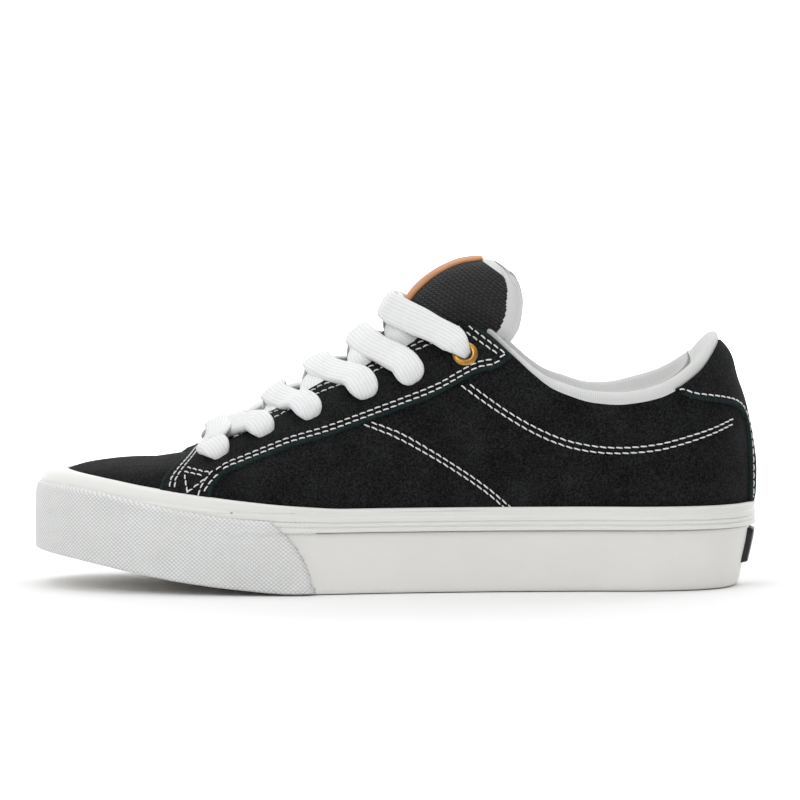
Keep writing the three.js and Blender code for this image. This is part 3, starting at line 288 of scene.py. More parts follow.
class Spokes:
    """Rays in plan from the spine of the last to its outline"""

    def __init__(self, along, direction):
        self.along = np.asarray(along, float)
        direction = np.asarray(direction, float)
        self.centre = np.stack([to_x(self.along), form["side"](self.along) * LAST_WIDTH], axis=1)
        reach = outline[None] - self.centre[:, None]
        edge_x, edge_y = outline_edges[None, :, 0], outline_edges[None, :, 1]
        turn = direction[:, None, 0] * edge_y - direction[:, None, 1] * edge_x
        length = (reach[..., 0] * edge_y - reach[..., 1] * edge_x) / turn
        share = (reach[..., 0] * direction[:, None, 1] - reach[..., 1] * direction[:, None, 0]) / turn
        hit = (length > 0) & (share >= 0) & (share < 1)
        edge = np.argmin(np.where(hit, length, np.inf), axis=1)
        pick = np.arange(len(self.along))
        self.base = self.centre + direction * length[pick, edge][:, None]
        part = share[pick, edge][:, None]
        following = (edge + 1) % len(outline)
        normal = outline_normals[edge] * (1 - part) + outline_normals[following] * part
        self.normal = normal / np.linalg.norm(normal, axis=1)[:, None]

    def take(self, chosen):
        part = Spokes.__new__(Spokes)
        for name in ("along", "centre", "base", "normal"):
            setattr(part, name, getattr(self, name)[chosen])
        return part


def across(along, side):
    along = np.asarray(along, float)
    return Spokes(along, np.tile([0.0, side], (len(along), 1)))


def fan(along, angles):
    angles = np.asarray(angles, float)
    return Spokes(np.full(len(angles), along), np.stack([np.cos(angles), np.sin(angles)], axis=1))


def joined(*groups):
    whole = Spokes.__new__(Spokes)
    for name in ("along", "centre", "base", "normal"):
        setattr(whole, name, np.concatenate([getattr(g, name) for g in groups]))
    return whole


TOE_CENTRE, HEEL_CENTRE = FORM["along"][0], FORM["along"][-1]
THROAT_FRONT = FORM["along"][3]
stations = np.concatenate([np.linspace(TOE_CENTRE, THROAT_FRONT, 37),
                           np.linspace(THROAT_FRONT, HEEL_CENTRE, 205)[1:]])
HEEL_FAN, TOE_FAN = 84, 96
heel_angles = -math.pi / 2 + math.pi * np.arange(1, HEEL_FAN) / HEEL_FAN
toe_angles = math.pi / 2 + math.pi * np.arange(1, TOE_FAN) / TOE_FAN
outer_side = across(stations, -1)
inner_side = across(stations[::-1], 1)
ring = joined(outer_side, fan(HEEL_CENTRE, heel_angles), inner_side, fan(TOE_CENTRE, toe_angles))
around = distances(ring.base)


def ridge_at(spokes):
    return INSTEP_HEIGHT * form["ridge"](spokes.along)


def arch_points(spokes, rise):
    """Points of the closed form at a share of the way up its arch, one row for each row of rise"""
    rise = np.clip(rise, 0, 1)
    power = form["fullness"](spokes.along)
    reach = (1 - rise**power) ** (1 / power)
    swell = HEEL_BULGE * form["bulge"](spokes.along) * np.sin(np.pi * np.sqrt(rise))
    height = SHOULDER_HEIGHT + (ridge_at(spokes) - SHOULDER_HEIGHT) * rise
    back = np.clip((spokes.base[..., 0] - LIP_START) / LIP_RUN, 0, 1)
    swell = swell + HEEL_LIP * back * np.exp(-(((height - LIP_HEIGHT) / LIP_SPREAD) ** 2))
    plan = spokes.centre + reach[..., None] * (spokes.base - spokes.centre) + swell[..., None] * spokes.normal
    return np.concatenate([plan, height[..., None]], axis=-1)


def form_points(spokes, height):
    """Points of the closed form at heights, from its upright foot to its arch"""
    shape = np.broadcast_shapes(np.shape(height), spokes.along.shape)
    height = np.broadcast_to(np.asarray(height, float), shape)
    rise = np.clip((height - SHOULDER_HEIGHT) / (ridge_at(spokes) - SHOULDER_HEIGHT), 0, 0.999)
    points = arch_points(spokes, rise)
    points[..., 2] = np.where(height < SHOULDER_HEIGHT, height, points[..., 2])
    return points


def unit(vectors):
    return vectors / np.maximum(np.linalg.norm(vectors, axis=-1), 1e-9)[..., None]


def form_normals(spokes, height):
    climb = form_points(spokes, np.asarray(height) + 0.5) - form_points(spokes, height)
    tangent = np.concatenate([-spokes.normal[:, ::-1] * [1, -1], np.zeros((len(spokes.along), 1))], axis=1)
    normal = unit(np.cross(np.broadcast_to(tangent, climb.shape), climb))
    flat = np.concatenate([spokes.normal, np.zeros((len(spokes.along), 1))], axis=1)
    return normal * np.sign((normal * flat).sum(-1))[..., None]


def outside(spokes, height, distance):
    """Points at a distance outside the form whose own height is the one asked for"""
    foot = np.array(np.broadcast_to(height, np.broadcast_shapes(np.shape(height), spokes.along.shape)), float)
    aim = foot.copy()
    for _ in range(5):
        points = form_points(spokes, foot) + form_normals(spokes, foot) * np.asarray(distance)[..., None]
        foot += aim - points[..., 2]
    return points


# Meshes

def grid_faces(rows, columns_, closed=False):
    """Quads over rows of points that all have as many points"""
    r, c = np.meshgrid(np.arange(rows - 1), np.arange(columns_ if closed else columns_ - 1), indexing="ij")
    following = (c + 1) % columns_
    low, high = r * columns_, (r + 1) * columns_
    quads = [low + c, low + following, high + following, high + c]
    return np.stack(quads, axis=-1).reshape(-1, 4)


def close_ring(rows, count):
    """Quads that join the last row of a ring back to its first"""
    i = np.arange(count)
    following = (i + 1) % count
    base = (rows - 1) * count
    return np.stack([base + i, base + following, following, i], axis=1)


def side_caps(rows, count):
    """Quads over both ends of a folded sheet, whose last row lies behind its first"""
    caps = []
    for column in (0, count - 1):
        index = np.arange(rows) * count + column
        caps += [[index[i], index[i + 1], index[-2 - i], index[-1 - i]] for i in range(rows // 2 - 1)]
    return caps


def loop_caps(rows, count):
    """Quads over the first and last row of a flat tube with count points on each face"""
    i = np.arange(count - 1)
    return [np.stack([base + i, base + i + 1, base + 2 * count - 2 - i, base + 2 * count - 1 - i], axis=1)
            for base in (0, (rows - 1) * 2 * count)]


def flat_places(along, rows):
    """Each point's place along a piece and, from the mean gaps between its rows, across it"""
    up = np.cumsum(np.linalg.norm(np.diff(rows, axis=0, prepend=rows[:1]), axis=2).mean(axis=1))
    return np.stack(np.broadcast_arrays(along[None], up[:, None]), axis=-1).reshape(-1, 2)


def merged_normals(points, faces):
    """Outward directions at points, averaged over the faces that meet there"""
    corners = points[faces]
    face = np.cross(corners[:, 2] - corners[:, 0], corners[:, 3 % corners.shape[1]] - corners[:, 1])
    _, same = np.unique(np.round(points, 2), axis=0, return_inverse=True)
    same = same.reshape(-1)
    sums = np.zeros((same.max() + 1, 3))
    for k in range(faces.shape[1]):
        np.add.at(sums, same[faces[:, k]], face)
    return unit(sums)[same]


def make_piece(name, points, faces, materials, replaces=(), part=None, flat=None, merge=True):
    """A smooth mesh in the frame from points in millimetres; part gives each face's material,
    flat each point's place along and across the piece in millimetres"""
    mesh = bpy.data.meshes.new(name)
    mesh.from_pydata((np.asarray(points) * MM).tolist(), [], [list(map(int, f)) for f in faces])
    for material in materials:
        mesh.materials.append(material)
    if part is not None:
        mesh.polygons.foreach_set("material_index", np.asarray(part, dtype=np.int32))
    if flat is not None:
        layer = mesh.uv_layers.new(name="flat")
        corner = np.zeros(len(mesh.loops), dtype=np.int32)
        mesh.loops.foreach_get("vertex_index", corner)
        layer.data.foreach_set("uv", np.asarray(flat, np.float32)[corner].reshape(-1))
    body = bmesh.new()
    body.from_mesh(mesh)
    if merge:
        bmesh.ops.remove_doubles(body, verts=body.verts, dist=0.004 * MM)
        bmesh.ops.dissolve_degenerate(body, edges=body.edges, dist=0.001 * MM)
    bmesh.ops.recalc_face_normals(body, faces=body.faces)
    body.to_mesh(mesh)
    body.free()
    mesh.polygons.foreach_set("use_smooth", np.ones(len(mesh.polygons), dtype=bool))
    piece = bpy.data.objects.new(name, mesh)
    bpy.context.scene.collection.objects.link(piece)
    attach(piece, "root")
    if replaces:
        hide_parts(*replaces)
    return piece


# Materials

class Nodes:
    """A few short calls for building a material"""

    def __init__(self, name, colour, roughness, **values):
        self.material = bpy.data.materials.new(name)
        self.material.use_nodes = True
        self.tree = self.material.node_tree
        self.shader = self.tree.nodes["Principled BSDF"]
        self.shader.inputs["Base Color"].default_value = (*colour, 1)
        self.shader.inputs["Roughness"].default_value = roughness
        for key, value in values.items():
            self.shader.inputs[key.replace("_", " ")].default_value = value

    def add(self, kind, **values):
        node = self.tree.nodes.new(kind)
        for key, value in values.items():
            if hasattr(node, key):
                setattr(node, key, value)
            else:
                node.inputs[key.replace("_", " ")].default_value = value
        return node

    def link(self, start, end):
        self.tree.links.new(start, end)

    def place(self):
        return self.add("ShaderNodeTexCoord").outputs["Object"]

    def flat(self):
        return self.add("ShaderNodeUVMap", uv_map="flat").outputs["UV"]

    def noise(self, scale, detail=3, roughness=0.6):
        node = self.add("ShaderNodeTexNoise", Scale=scale, Detail=detail, Roughness=roughness)
        self.link(self.place(), node.inputs["Vector"])
        return node.outputs["Fac"]

    def maths(self, operation, a, b=0.0, clamp=False):
        node = self.add("ShaderNodeMath", operation=operation, use_clamp=clamp)
        for value, socket in ((a, node.inputs[0]), (b, node.inputs[1])):
            if isinstance(value, (int, float)):
                socket.default_value = value
            else:
                self.link(value, socket)
        return node.outputs[0]

    def stretch(self, value, gain, offset=0.0):
        """value times gain plus offset, kept between 0 and 1"""
        return self.maths("ADD", self.maths("MULTIPLY", value, gain), offset, True)

    def blend(self, share, first, second):
        node = self.add("ShaderNodeMix", data_type="RGBA")
        self.link(share, node.inputs["Factor"])
        for value, socket in ((first, node.inputs[6]), (second, node.inputs[7])):
            if isinstance(value, tuple):
                socket.default_value = (*value, 1)
            else:
                self.link(value, socket)
        return node.outputs[2]

    def colour(self, value):
        self.link(value, self.shader.inputs["Base Color"])

    def roughness(self, value, low, high):
        node = self.add("ShaderNodeMapRange")
        node.inputs["To Min"].default_value = low
        node.inputs["To Max"].default_value = high
        self.link(value, node.inputs["Value"])
        self.link(node.outputs[0], self.shader.inputs["Roughness"])

    def bump(self, height, strength, distance, under=None):
        node = self.add("ShaderNodeBump", Strength=strength, Distance=distance)
        self.link(height, node.inputs["Height"])
        if under is not None:
            self.link(under, node.inputs["Normal"])
        self.link(node.outputs[0], self.shader.inputs["Normal"])
        return node.outputs[0]


def linear(*values):
    """Linear colour from 0-255 display values"""
    return tuple((v / 255 / 12.92) if v < 10.3 else ((v / 255 + 0.055) / 1.055) ** 2.4 for v in values)


def suede(name, dark, light):
    m = Nodes(name, linear(*dark), 0.92, Sheen_Weight=0.04, Sheen_Roughness=0.4, Specular_IOR_Level=0.12)
    m.shader.inputs["Sheen Tint"].default_value = (*linear(150, 152, 158), 1)
    cloud = m.noise(70, 4)
    nap = m.noise(1300, 3, roughness=0.8)
    grain = m.noise(3200, 2)
    share = m.maths("ADD", m.maths("MULTIPLY", nap, 3.4), m.maths("MULTIPLY", cloud, 0.8))
    share = m.stretch(share, 1, -1.75)
    m.colour(m.blend(share, linear(*dark), linear(*light)))
    under = m.bump(nap, 0.5, 0.0009)
    m.bump(grain, 0.35, 0.0004, under)
    return m.material


def rubber(name, colour, roughness=0.5, stain=0.05, grain=0.12):
    m = Nodes(name, linear(*colour), roughness, Specular_IOR_Level=0.4)
    cloud = m.noise(35, 4)
    speck = m.noise(1500, 2)
    darker = tuple(v * (1 - stain * 2.4) for v in linear(*colour))
    m.colour(m.blend(m.stretch(cloud, 2, -0.7), linear(*colour), darker))
    m.roughness(cloud, roughness - 0.08, roughness + 0.12)
    under = m.bump(speck, grain, 0.0002)
    m.bump(m.noise(120, 2), 0.1, 0.0008, under)
    return m.material


def half_up(m, value, pitch, turn=0.0):
    """0 to 1 and back once each pitch"""
    angle = m.maths("ADD", m.maths("MULTIPLY", value, 2 * math.pi / pitch), turn)
    return m.stretch(m.maths("SINE", angle), 0.5, 0.5)


def along_across(m):
    split = m.add("ShaderNodeSeparateXYZ")
    m.link(m.flat(), split.inputs[0])
    return split.outputs[0], split.outputs[1]


def diamond_rubber(name, colour, groove):
    """Rubber with a fine grid of raised diamonds, with painted shade in the grooves between them"""
    m = Nodes(name, linear(*colour), 0.55, Specular_IOR_Level=0.4)
    u, v = along_across(m)
    down = m.maths("ADD", u, m.maths("MULTIPLY", v, 1.15))
    up = m.maths("SUBTRACT", u, m.maths("MULTIPLY", v, 1.15))
    raised = m.maths("MULTIPLY", half_up(m, down, 1.9), half_up(m, up, 1.9))
    raised = m.maths("POWER", raised, 0.38)
    cloud = m.noise(60, 3)
    tone = m.maths("ADD", m.maths("MULTIPLY", raised, 0.8), m.maths("MULTIPLY", cloud, 0.35), True)
    # The groove colour darkens the low parts between the diamonds as painted shade, varied at random by noise
    m.colour(m.blend(tone, linear(*groove), linear(*colour)))
    m.bump(raised, 0.5, 0.0005)
    return m.material


def knit(name, colour, shade, pitch=1.1, strength=0.6):
    """A soft knitted cloth of small linked loops"""
    m = Nodes(name, linear(*colour), 0.95, Sheen_Weight=0.3, Sheen_Roughness=0.5)
    u, v = along_across(m)
    warp = m.maths("MULTIPLY", m.noise(260, 2), 0.35)
    column = half_up(m, m.maths("ADD", u, warp), pitch)
    row = half_up(m, m.maths("ADD", v, m.maths("MULTIPLY", column, 0.5)), pitch * 0.8)
    loops = m.maths("MULTIPLY", m.maths("POWER", column, 0.6), m.maths("POWER", row, 0.6))
    fuzz = m.noise(2200, 3)
    tone = m.maths("ADD", m.maths("MULTIPLY", loops, 0.75), m.maths("MULTIPLY", fuzz, 0.3), True)
    m.colour(m.blend(tone, linear(*shade), linear(*colour)))
    under = m.bump(loops, strength, 0.0005)
    m.bump(fuzz, 0.25, 0.0003, under)
    return m.material


def open_mesh(name):
    """Black spacer mesh: rows of short ribs between small holes, with painted highlight on the ribs and painted
    shade in the holes
    """
    m = Nodes(name, linear(20, 20, 21), 0.8, Sheen_Weight=0.03)
    u, v = along_across(m)
    slant = m.maths("ADD", u, m.maths("MULTIPLY", v, 0.55))
    row = half_up(m, v, 1.75)
    cell = half_up(m, slant, 2.2)
    shifted = half_up(m, m.maths("ADD", slant, m.maths("MULTIPLY", row, 1.0)), 2.2)
    rib = m.maths("MULTIPLY", m.maths("POWER", row, 2.2), m.maths("POWER", shifted, 1.3))
    rib = m.maths("ADD", rib, m.maths("MULTIPLY", cell, 0.12), True)
    tone = m.maths("MULTIPLY", rib, m.stretch(m.noise(500, 2), 1.6))
    # Light grey on the ribs is painted highlight and near black in the holes is painted shade, varied at random
    # by noise
    m.colour(m.blend(tone, linear(2, 2, 3), linear(70, 70, 72)))
    m.bump(rib, 0.9, 0.001)
    return m.material


def lace_cloth(name):
    """Flat tubular lace: ribs along it with slanting picks"""
    m = Nodes(name, linear(246, 246, 245), 0.9, Sheen_Weight=0.25)
    u, v = along_across(m)
    chevron = m.maths("ADD", u, m.maths("MULTIPLY", m.maths("ABSOLUTE", v), 1.1))
    pick = half_up(m, chevron, 0.95)
    rib = half_up(m, v, 1.55, 1.2)
    raised = m.maths("ADD", m.maths("MULTIPLY", rib, 0.55), m.maths("MULTIPLY", pick, 0.5))
    tone = m.maths("ADD", m.maths("MULTIPLY", raised, 0.7), m.maths("MULTIPLY", m.noise(300, 3), 0.45), True)
    # The darker colour in the low parts between ribs and picks is painted shade, varied at random by noise
    m.colour(m.blend(tone, linear(214, 216, 219), linear(246, 246, 245)))
    under = m.bump(raised, 0.4, 0.0004)
    m.bump(m.noise(1800, 2), 0.2, 0.0003, under)
    return m.material


def leather(name, colour, dark):
    m = Nodes(name, linear(*colour), 0.6, Specular_IOR_Level=0.35)
    pores = m.add("ShaderNodeTexVoronoi", Scale=900.0, feature="DISTANCE_TO_EDGE")
    m.link(m.place(), pores.inputs["Vector"])
    cloud = m.noise(90, 4)
    m.colour(m.blend(m.stretch(cloud, 2, -0.5), linear(*colour), linear(*dark)))
    m.bump(pores.outputs["Distance"], 0.35, 0.0004)
    return m.material


def brass(name):
    m = Nodes(name, linear(196, 150, 72), 0.3, Metallic=1.0)
    wear = m.noise(700, 4)
    m.colour(m.blend(wear, linear(150, 104, 44), linear(214, 172, 96)))
    m.roughness(wear, 0.22, 0.45)
    m.bump(wear, 0.1, 0.0002)
    return m.material


BLACK_SUEDE = suede("black_suede", (4, 4, 5), (46, 47, 48))
CUT_EDGE = suede("suede_cut_edge", (22, 32, 33), (46, 58, 58))
LINING = knit("white_lining", (236, 236, 233), (204, 206, 206), 0.8, 0.4)
SOCK_CLOTH = knit("insole_cloth", (226, 226, 222), (168, 168, 166), 0.9, 0.4)
TONGUE_MESH = open_mesh("black_mesh")
LACE = lace_cloth("white_lace")
THREAD = knit("white_thread", (248, 248, 246), (216, 216, 216), 0.5, 0.3)
STRIP = rubber("strip_white", (231, 231, 228), 0.45, 0.01)
WALL = rubber("wall_white", (234, 233, 230), 0.55, 0.02, 0.3)
# The second colour is painted shade in the bumper's grooves
BUMPER = diamond_rubber("bumper_white", (242, 242, 240), (190, 192, 194))
TREAD = rubber("tread_white", (214, 211, 202), 0.6, 0.08, 0.4)
BLACK_RUBBER = rubber("black_rubber", (24, 25, 27), 0.45, 0.1, 0.3)
TAN = leather("tan_leather", (200, 140, 90), (166, 114, 74))
BRASS = brass("eyelet_brass")


# Maps of the form's surface, each a regular table of points and outward directions

class Map:
    def __init__(self, points, first, steps):
        self.points, self.first, self.steps = points, np.array(first, float), np.array(steps, float)
        du, dv = np.gradient(points, axis=0), np.gradient(points, axis=1)
        self.normals = unit(np.cross(du, dv))
        middle = self.normals[points.shape[0] // 2, points.shape[1] // 2]
        self.normals *= np.sign(middle @ self.facing(points))

    @staticmethod
    def facing(points):
        centre = points.reshape(-1, 3).mean(0)
        return points[points.shape[0] // 2, points.shape[1] // 2] - centre

    def sample(self, table, places):
        cell = (np.asarray(places, float) - self.first) / self.steps
        top = np.array(table.shape[:2]) - 1.001
        cell = np.clip(cell, 0, top)
        low = cell.astype(int)
        part = cell - low
        i, j = low[..., 0], low[..., 1]
        a, b = part[..., 0:1], part[..., 1:2]
        return (table[i, j] * (1 - a) * (1 - b) + table[i + 1, j] * a * (1 - b)
                + table[i, j + 1] * (1 - a) * b + table[i + 1, j + 1] * a * b)

    def at(self, places, height=0.0):
        normal = unit(self.sample(self.normals, places))
        return self.sample(self.points, places) + normal * np.asarray(height)[..., None]


def arch_map():
    """The whole arch by x and distance over it from the ridge, outer side negative"""
    step, reach = 0.5, 125.0
    xs = np.arange(to_x(TOE_CENTRE) + 0.1, to_x(HEEL_CENTRE), step)
    halves = []
    for side in (-1, 1):
        spokes = across(to_along(xs), side)
        turns = np.linspace(1, 0, 220)[:, None]
        rises = np.sin(turns * math.pi / 2) ** (2 / form["fullness"](spokes.along))
        rows = arch_points(spokes, rises)
        foot = rows[-1:].repeat(14, axis=0)
        foot[:, :, 2] = np.linspace(SHOULDER_HEIGHT, 24, 15)[1:, None]
        rows = np.concatenate([rows, foot])
        gaps = np.linalg.norm(np.diff(rows, axis=0), axis=2)
        far = np.concatenate([np.zeros((1, len(xs))), np.cumsum(gaps, axis=0)])
        places = np.arange(0, reach, step)
        halves.append(np.stack([[np.interp(places, far[:, k], rows[:, k, c]) for c in range(3)]
                                for k in range(len(xs))]))
    outer, inner = (half.transpose(0, 2, 1) for half in halves)
    points = np.concatenate([outer[:, :0:-1], inner], axis=1)
    return Map(points, (xs[0], -(outer.shape[1] - 1) * step), (step, step))


def heel_map():
    """The back of the form by distance round its foot from the middle of the heel and by height"""
    step, reach = 0.5, 80.0
    along = np.linspace(0.76, HEEL_CENTRE, 60)
    angles = np.linspace(-math.pi / 2, math.pi / 2, 121)[1:-1]
    spokes = joined(across(along, -1), fan(HEEL_CENTRE, angles), across(along[::-1], 1))
    far = distances(spokes.base)
    far -= far[len(along) + len(angles) // 2]
    heights = np.arange(24, 111, step)[:, None]
    rows = form_points(spokes, heights)
    places = np.arange(-reach, reach, step)
    points = np.stack([[np.interp(places, far, row[:, c]) for c in range(3)] for row in rows])
    return Map(points.transpose(2, 0, 1), (-reach, 24), (step, step))


ARCH, HEEL = arch_map(), heel_map()


def arch_place(x, z, side):
    """Place on the arch map of points seen from the side"""
    rows = np.clip(((np.asarray(x) - ARCH.first[0]) / ARCH.steps[0]).astype(int), 0, len(ARCH.points) - 1)
    middle = ARCH.points.shape[1] // 2
    found = []
    for row, height in zip(rows, np.asarray(z)):
        heights = ARCH.points[row, middle:: side, 2]
        found.append(side * ARCH.steps[1] * np.interp(-height, -heights, np.arange(len(heights))))
    return np.stack([np.asarray(x, float), np.array(found)], axis=1)


def heel_place(x, z, side):
    """Place on the heel map of points seen from the side"""
    middle = HEEL.points.shape[0] // 2
    found = []
    for reach, height in zip(x, z):
        level = int(np.clip((height - HEEL.first[1]) / HEEL.steps[1], 0, HEEL.points.shape[1] - 1))
        line = HEEL.points[middle:: side, level, 0]
        found.append(side * HEEL.steps[0] * np.interp(-reach, -line, np.arange(len(line))))
    return np.stack([np.array(found), np.asarray(z, float)], axis=1)


def side_view(table):
    return to_x(table["along"]), TOPLINE_HEIGHT * np.array(table["height"], float)


# Upper

def rise_of_turn(spokes, turn):
    return np.sin(np.clip(turn, 0, 1) * math.pi / 2) ** (2 / form["fullness"](spokes.along))


def throat_half(along):
    """Half the throat's width at a place along the last"""
    centre = THROAT_FRONT + THROAT_FOOT_RADIUS / LAST_LENGTH
    head = 0.663
    t = np.clip((along - centre) / (head - centre), 0, None)
    straight = THROAT_FOOT_RADIUS + (THROAT_HALF_WIDTH - THROAT_FOOT_RADIUS) * np.minimum(1, t * 1.6)
    gap = (along - centre) * LAST_LENGTH
    bow = np.sqrt(np.clip(THROAT_FOOT_RADIUS**2 - gap**2, 0, None))
    return np.where(along > centre, straight, np.where(along > THROAT_FRONT, bow, 0))


def top_turns(spokes):
    """How far round its arch the upper goes on each spoke: to the ridge, the throat or the topline"""
    turns = np.linspace(0, 1, 400)[:, None]
    points = arch_points(spokes, rise_of_turn(spokes, turns))
    gap = np.abs(points[..., 1] - spokes.centre[:, 1])
    half = throat_half(spokes.along)
    is_fan = np.abs(spokes.base[:, 0] - spokes.centre[:, 0]) > 1e-6
    half = np.where(is_fan, 0, half)
    line = np.where(points[..., 0] > to_x(TOPLINE["along"][0]), topline_at(points[..., 0]), 1e3)
    open_ = (gap < half) | (points[..., 2] > line)
    first = np.where(open_.any(0), open_.argmax(0), len(turns) - 1)
    found = turns[first, 0]
    back = np.clip(first - 1, 0, None)
    pick = np.arange(len(spokes.along))
    low, high = points[back, pick], points[first, pick]
    span_gap = np.abs(low[:, 1] - spokes.centre[:, 1]) - half
    next_gap = np.abs(high[:, 1] - spokes.centre[:, 1]) - half
    span_line = line[back, pick] - low[:, 2]
    next_line = line[first, pick] - high[:, 2]
    part = np.ones(len(pick))
    by_gap = (next_gap < 0) & (span_gap > 0)
    part[by_gap] = np.minimum(part[by_gap], span_gap[by_gap] / (span_gap - next_gap)[by_gap])
    by_line = (next_line < 0) & (span_line > 0)
    part[by_line] = np.minimum(part[by_line], span_line[by_line] / (span_line - next_line)[by_line])
    closed = first == len(turns) - 1
    return np.where(closed, 1, turns[back, 0] + part * (found - turns[back, 0])), closed & (half <= 0)


TOP_TURN, CLOSED_TOP = top_turns(ring)


def upper_rows(count, wall_rows):
    low = rim_at(ring.base[:, 0]) + CLEARANCE
    wall = np.linspace(0, 1, wall_rows)[:-1, None] * (SHOULDER_HEIGHT - low) + low
    plan = np.broadcast_to(ring.base, (len(wall), *ring.base.shape))
    rows = [np.concatenate([plan, wall[..., None]], axis=-1)]
    turns = np.linspace(0, 1, count)[:, None] * TOP_TURN
    rows.append(arch_points(ring, rise_of_turn(ring, turns)))
    return np.concatenate(rows)


# Stitch rows on the quarter, seen from the side: x and height in millimetres
QUARTER_SEAMS = {
    "diagonal_low": [(-13, 68.6), (0, 63.5), (13, 56.5), (25.4, 49), (37, 41), (45.5, 33.8)],
    "diagonal_high": [(-10, 69.5), (2, 65), (13, 58.8), (25.4, 51.2), (37, 43.2), (48, 34)],
    "collar_high": [(30, 84.6), (46, 73.4), (59, 66.2), (69.5, 62), (82, 59.5), (93.4, 59.1), (107, 60.4),
                    (120, 63.6),
                    (130, 66.6), (139, 70)],
    "collar_low": [(26.5, 84.2), (42, 73.4), (57, 64.6), (69.5, 59.6), (82, 57.2), (93.4, 56.9), (107, 58.1),
                   (120, 61.3), (130, 64.5), (139, 68)],
}


def seam_path(points, side):
    """Points and outward directions along a row of stitches on the side of the form"""
    line = resample(spline(points, 12), 0.5)
    front = line[:, 0] < 96
    places = arch_place(line[front, 0], line[front, 1], side)
    back = heel_place(line[~front, 0], line[~front, 1], side)
    spot = np.concatenate([ARCH.at(places), HEEL.at(back)])
    away = np.concatenate([ARCH.sample(ARCH.normals, places), HEEL.sample(HEEL.normals, back)])
    return spot, unit(away)


seams = {(name, side): seam_path(points, side) for name, points in QUARTER_SEAMS.items() for side in (-1, 1)}


def soft_waves(points, scale, seed):
    """A smooth field of slow waves, from -1 to 1"""
    draw = np.random.default_rng(seed)
    total = np.zeros(points.shape[:-1])
    for _ in range(7):
        direction = unit(draw.normal(size=3))
        pace = (2 * math.pi / scale) * draw.uniform(0.7, 1.4)
        total += np.sin(points @ direction * pace + draw.uniform(0, 6.3))
    return total / 4.5


# Soft folds pressed into the upper: middle, half lengths along two directions and depth
FOLDS = [
    dict(at=(-86, -30, 44), long=(0.1, 1, -0.35), reach=26, width=5, depth=-0.5),
    dict(at=(-77, 22, 52), long=(0.2, 1, -0.2), reach=24, width=5, depth=-0.5),
    dict(at=(-104, -12, 50), long=(0, 1, 0), reach=30, width=9, depth=0.35),
    dict(at=(10, -38, 58), long=(1, 0, 0.5), reach=30, width=9, depth=-0.5),
    dict(at=(62, -36, 52), long=(1, 0, 0.1), reach=34, width=10, depth=-0.6),
    dict(at=(62, 36, 52), long=(1, 0, 0.1), reach=34, width=10, depth=-0.6),
    dict(at=(118, -28, 52), long=(0.4, 0, 1), reach=22, width=7, depth=-0.4),
    dict(at=(-40, -44, 47), long=(1, 0, 0.1), reach=28, width=6, depth=-0.45),
]


def relief(points):
    """How far the upper's face stands off the form: slow waves, folds, and furrows along the seams"""
    lift = 0.22 * soft_waves(points, 34, 3) + 0.08 * soft_waves(points, 11, 4)
    for fold in FOLDS:
        long = unit(np.array(fold["long"], float))
        gap = points - np.array(fold["at"], float)
        along = gap @ long
        off = np.linalg.norm(gap - along[..., None] * long, axis=-1)
        lift += fold["depth"] * np.exp(-((along / fold["reach"]) ** 2) - (off / fold["width"]) ** 2)
    spots = np.concatenate([path for path, _ in seams.values()])
    tree = KDTree(len(spots))
    for i, spot in enumerate(spots):
        tree.insert(spot, i)
    tree.balance()
    flat = points.reshape(-1, 3)
    near = np.array([tree.find(p)[2] for p in flat]).reshape(points.shape[:-1])
    return lift - 0.4 * np.exp(-((near / 1.5) ** 2)) + 0.18 * np.exp(-(((near - 3.6) / 1.6) ** 2))


EYELET_X = to_x(EYELETS["along"])
EYELET_ARCH = INSTEP_HEIGHT * form["ridge"](EYELETS["along"]) - SHOULDER_HEIGHT
EYELET_Z = SHOULDER_HEIGHT + EYELETS["rise"] * EYELET_ARCH
EYELET_PLACES = {side: arch_place(EYELET_X, EYELET_Z, side) for side in (-1, 1)}
EYELET_SPOTS = np.concatenate([ARCH.at(EYELET_PLACES[side]) for side in (-1, 1)])


def make_upper():
    outer = upper_rows(66, 7)
    rows, count = outer.shape[:2]
    faces = grid_faces(rows, count, True)
    flat = outer.reshape(-1, 3)
    normals = merged_normals(flat, faces)
    if (normals[count * 5: count * 6, :2] * ring.normal).sum() < 0:
        normals = -normals
    lift = relief(flat)
    edge_fade = np.linspace(0, 1, rows)[:, None] * np.ones(count)
    lift *= np.where(CLOSED_TOP[None], 1, np.clip((1 - edge_fade) * 14, 0, 1)).reshape(-1)
    face = (flat + normals * lift[:, None]).reshape(rows, count, 3)
    away = normals.reshape(rows, count, 3)
    top, top_away = face[-1], away[-1]
    climb = unit(face[-1] - face[-3])
    half = UPPER_WALL / 2
    edge = [top - top_away * half * (1 - math.cos(a)) + climb * half * 0.7 * math.sin(a)
            for a in np.linspace(0, math.pi, 7)[1:-1]]
    picks = np.linspace(rows - 1, 0, 26).astype(int)
    inner = face[picks] - away[picks] * UPPER_WALL
    foot = [face[0] - away[0] * UPPER_WALL * 0.5]
    whole = np.concatenate([face, np.array(edge), inner, np.array(foot)])
    total = len(whole)
    quads = np.concatenate([grid_faces(total, count, True), close_ring(total, count)])
    row = quads.min(axis=1) // count
    is_edge = (row >= rows - 1) & (row < rows + len(edge)) & (quads.max(axis=1) // count <= rows + len(edge))
    column = quads % count
    shut = CLOSED_TOP[column].all(axis=1)
    keep = ~(is_edge & shut)
    middle = whole.reshape(-1, 3)[quads].mean(axis=1)
    for spot in EYELET_SPOTS:
        keep &= np.linalg.norm(middle - spot, axis=1) > EYELET_OPENING
    quads, row, is_edge = quads[keep], row[keep], is_edge[keep]
    part = np.where(is_edge, 1, np.where(row >= rows, 2, 0))
    make_piece("upper_suede", whole.reshape(-1, 3), quads, [BLACK_SUEDE, BLACK_SUEDE, LINING],
               ["upper"], part, flat_places(around, whole))


make_upper()


# Overlays cut from flat outlines on a map of the form

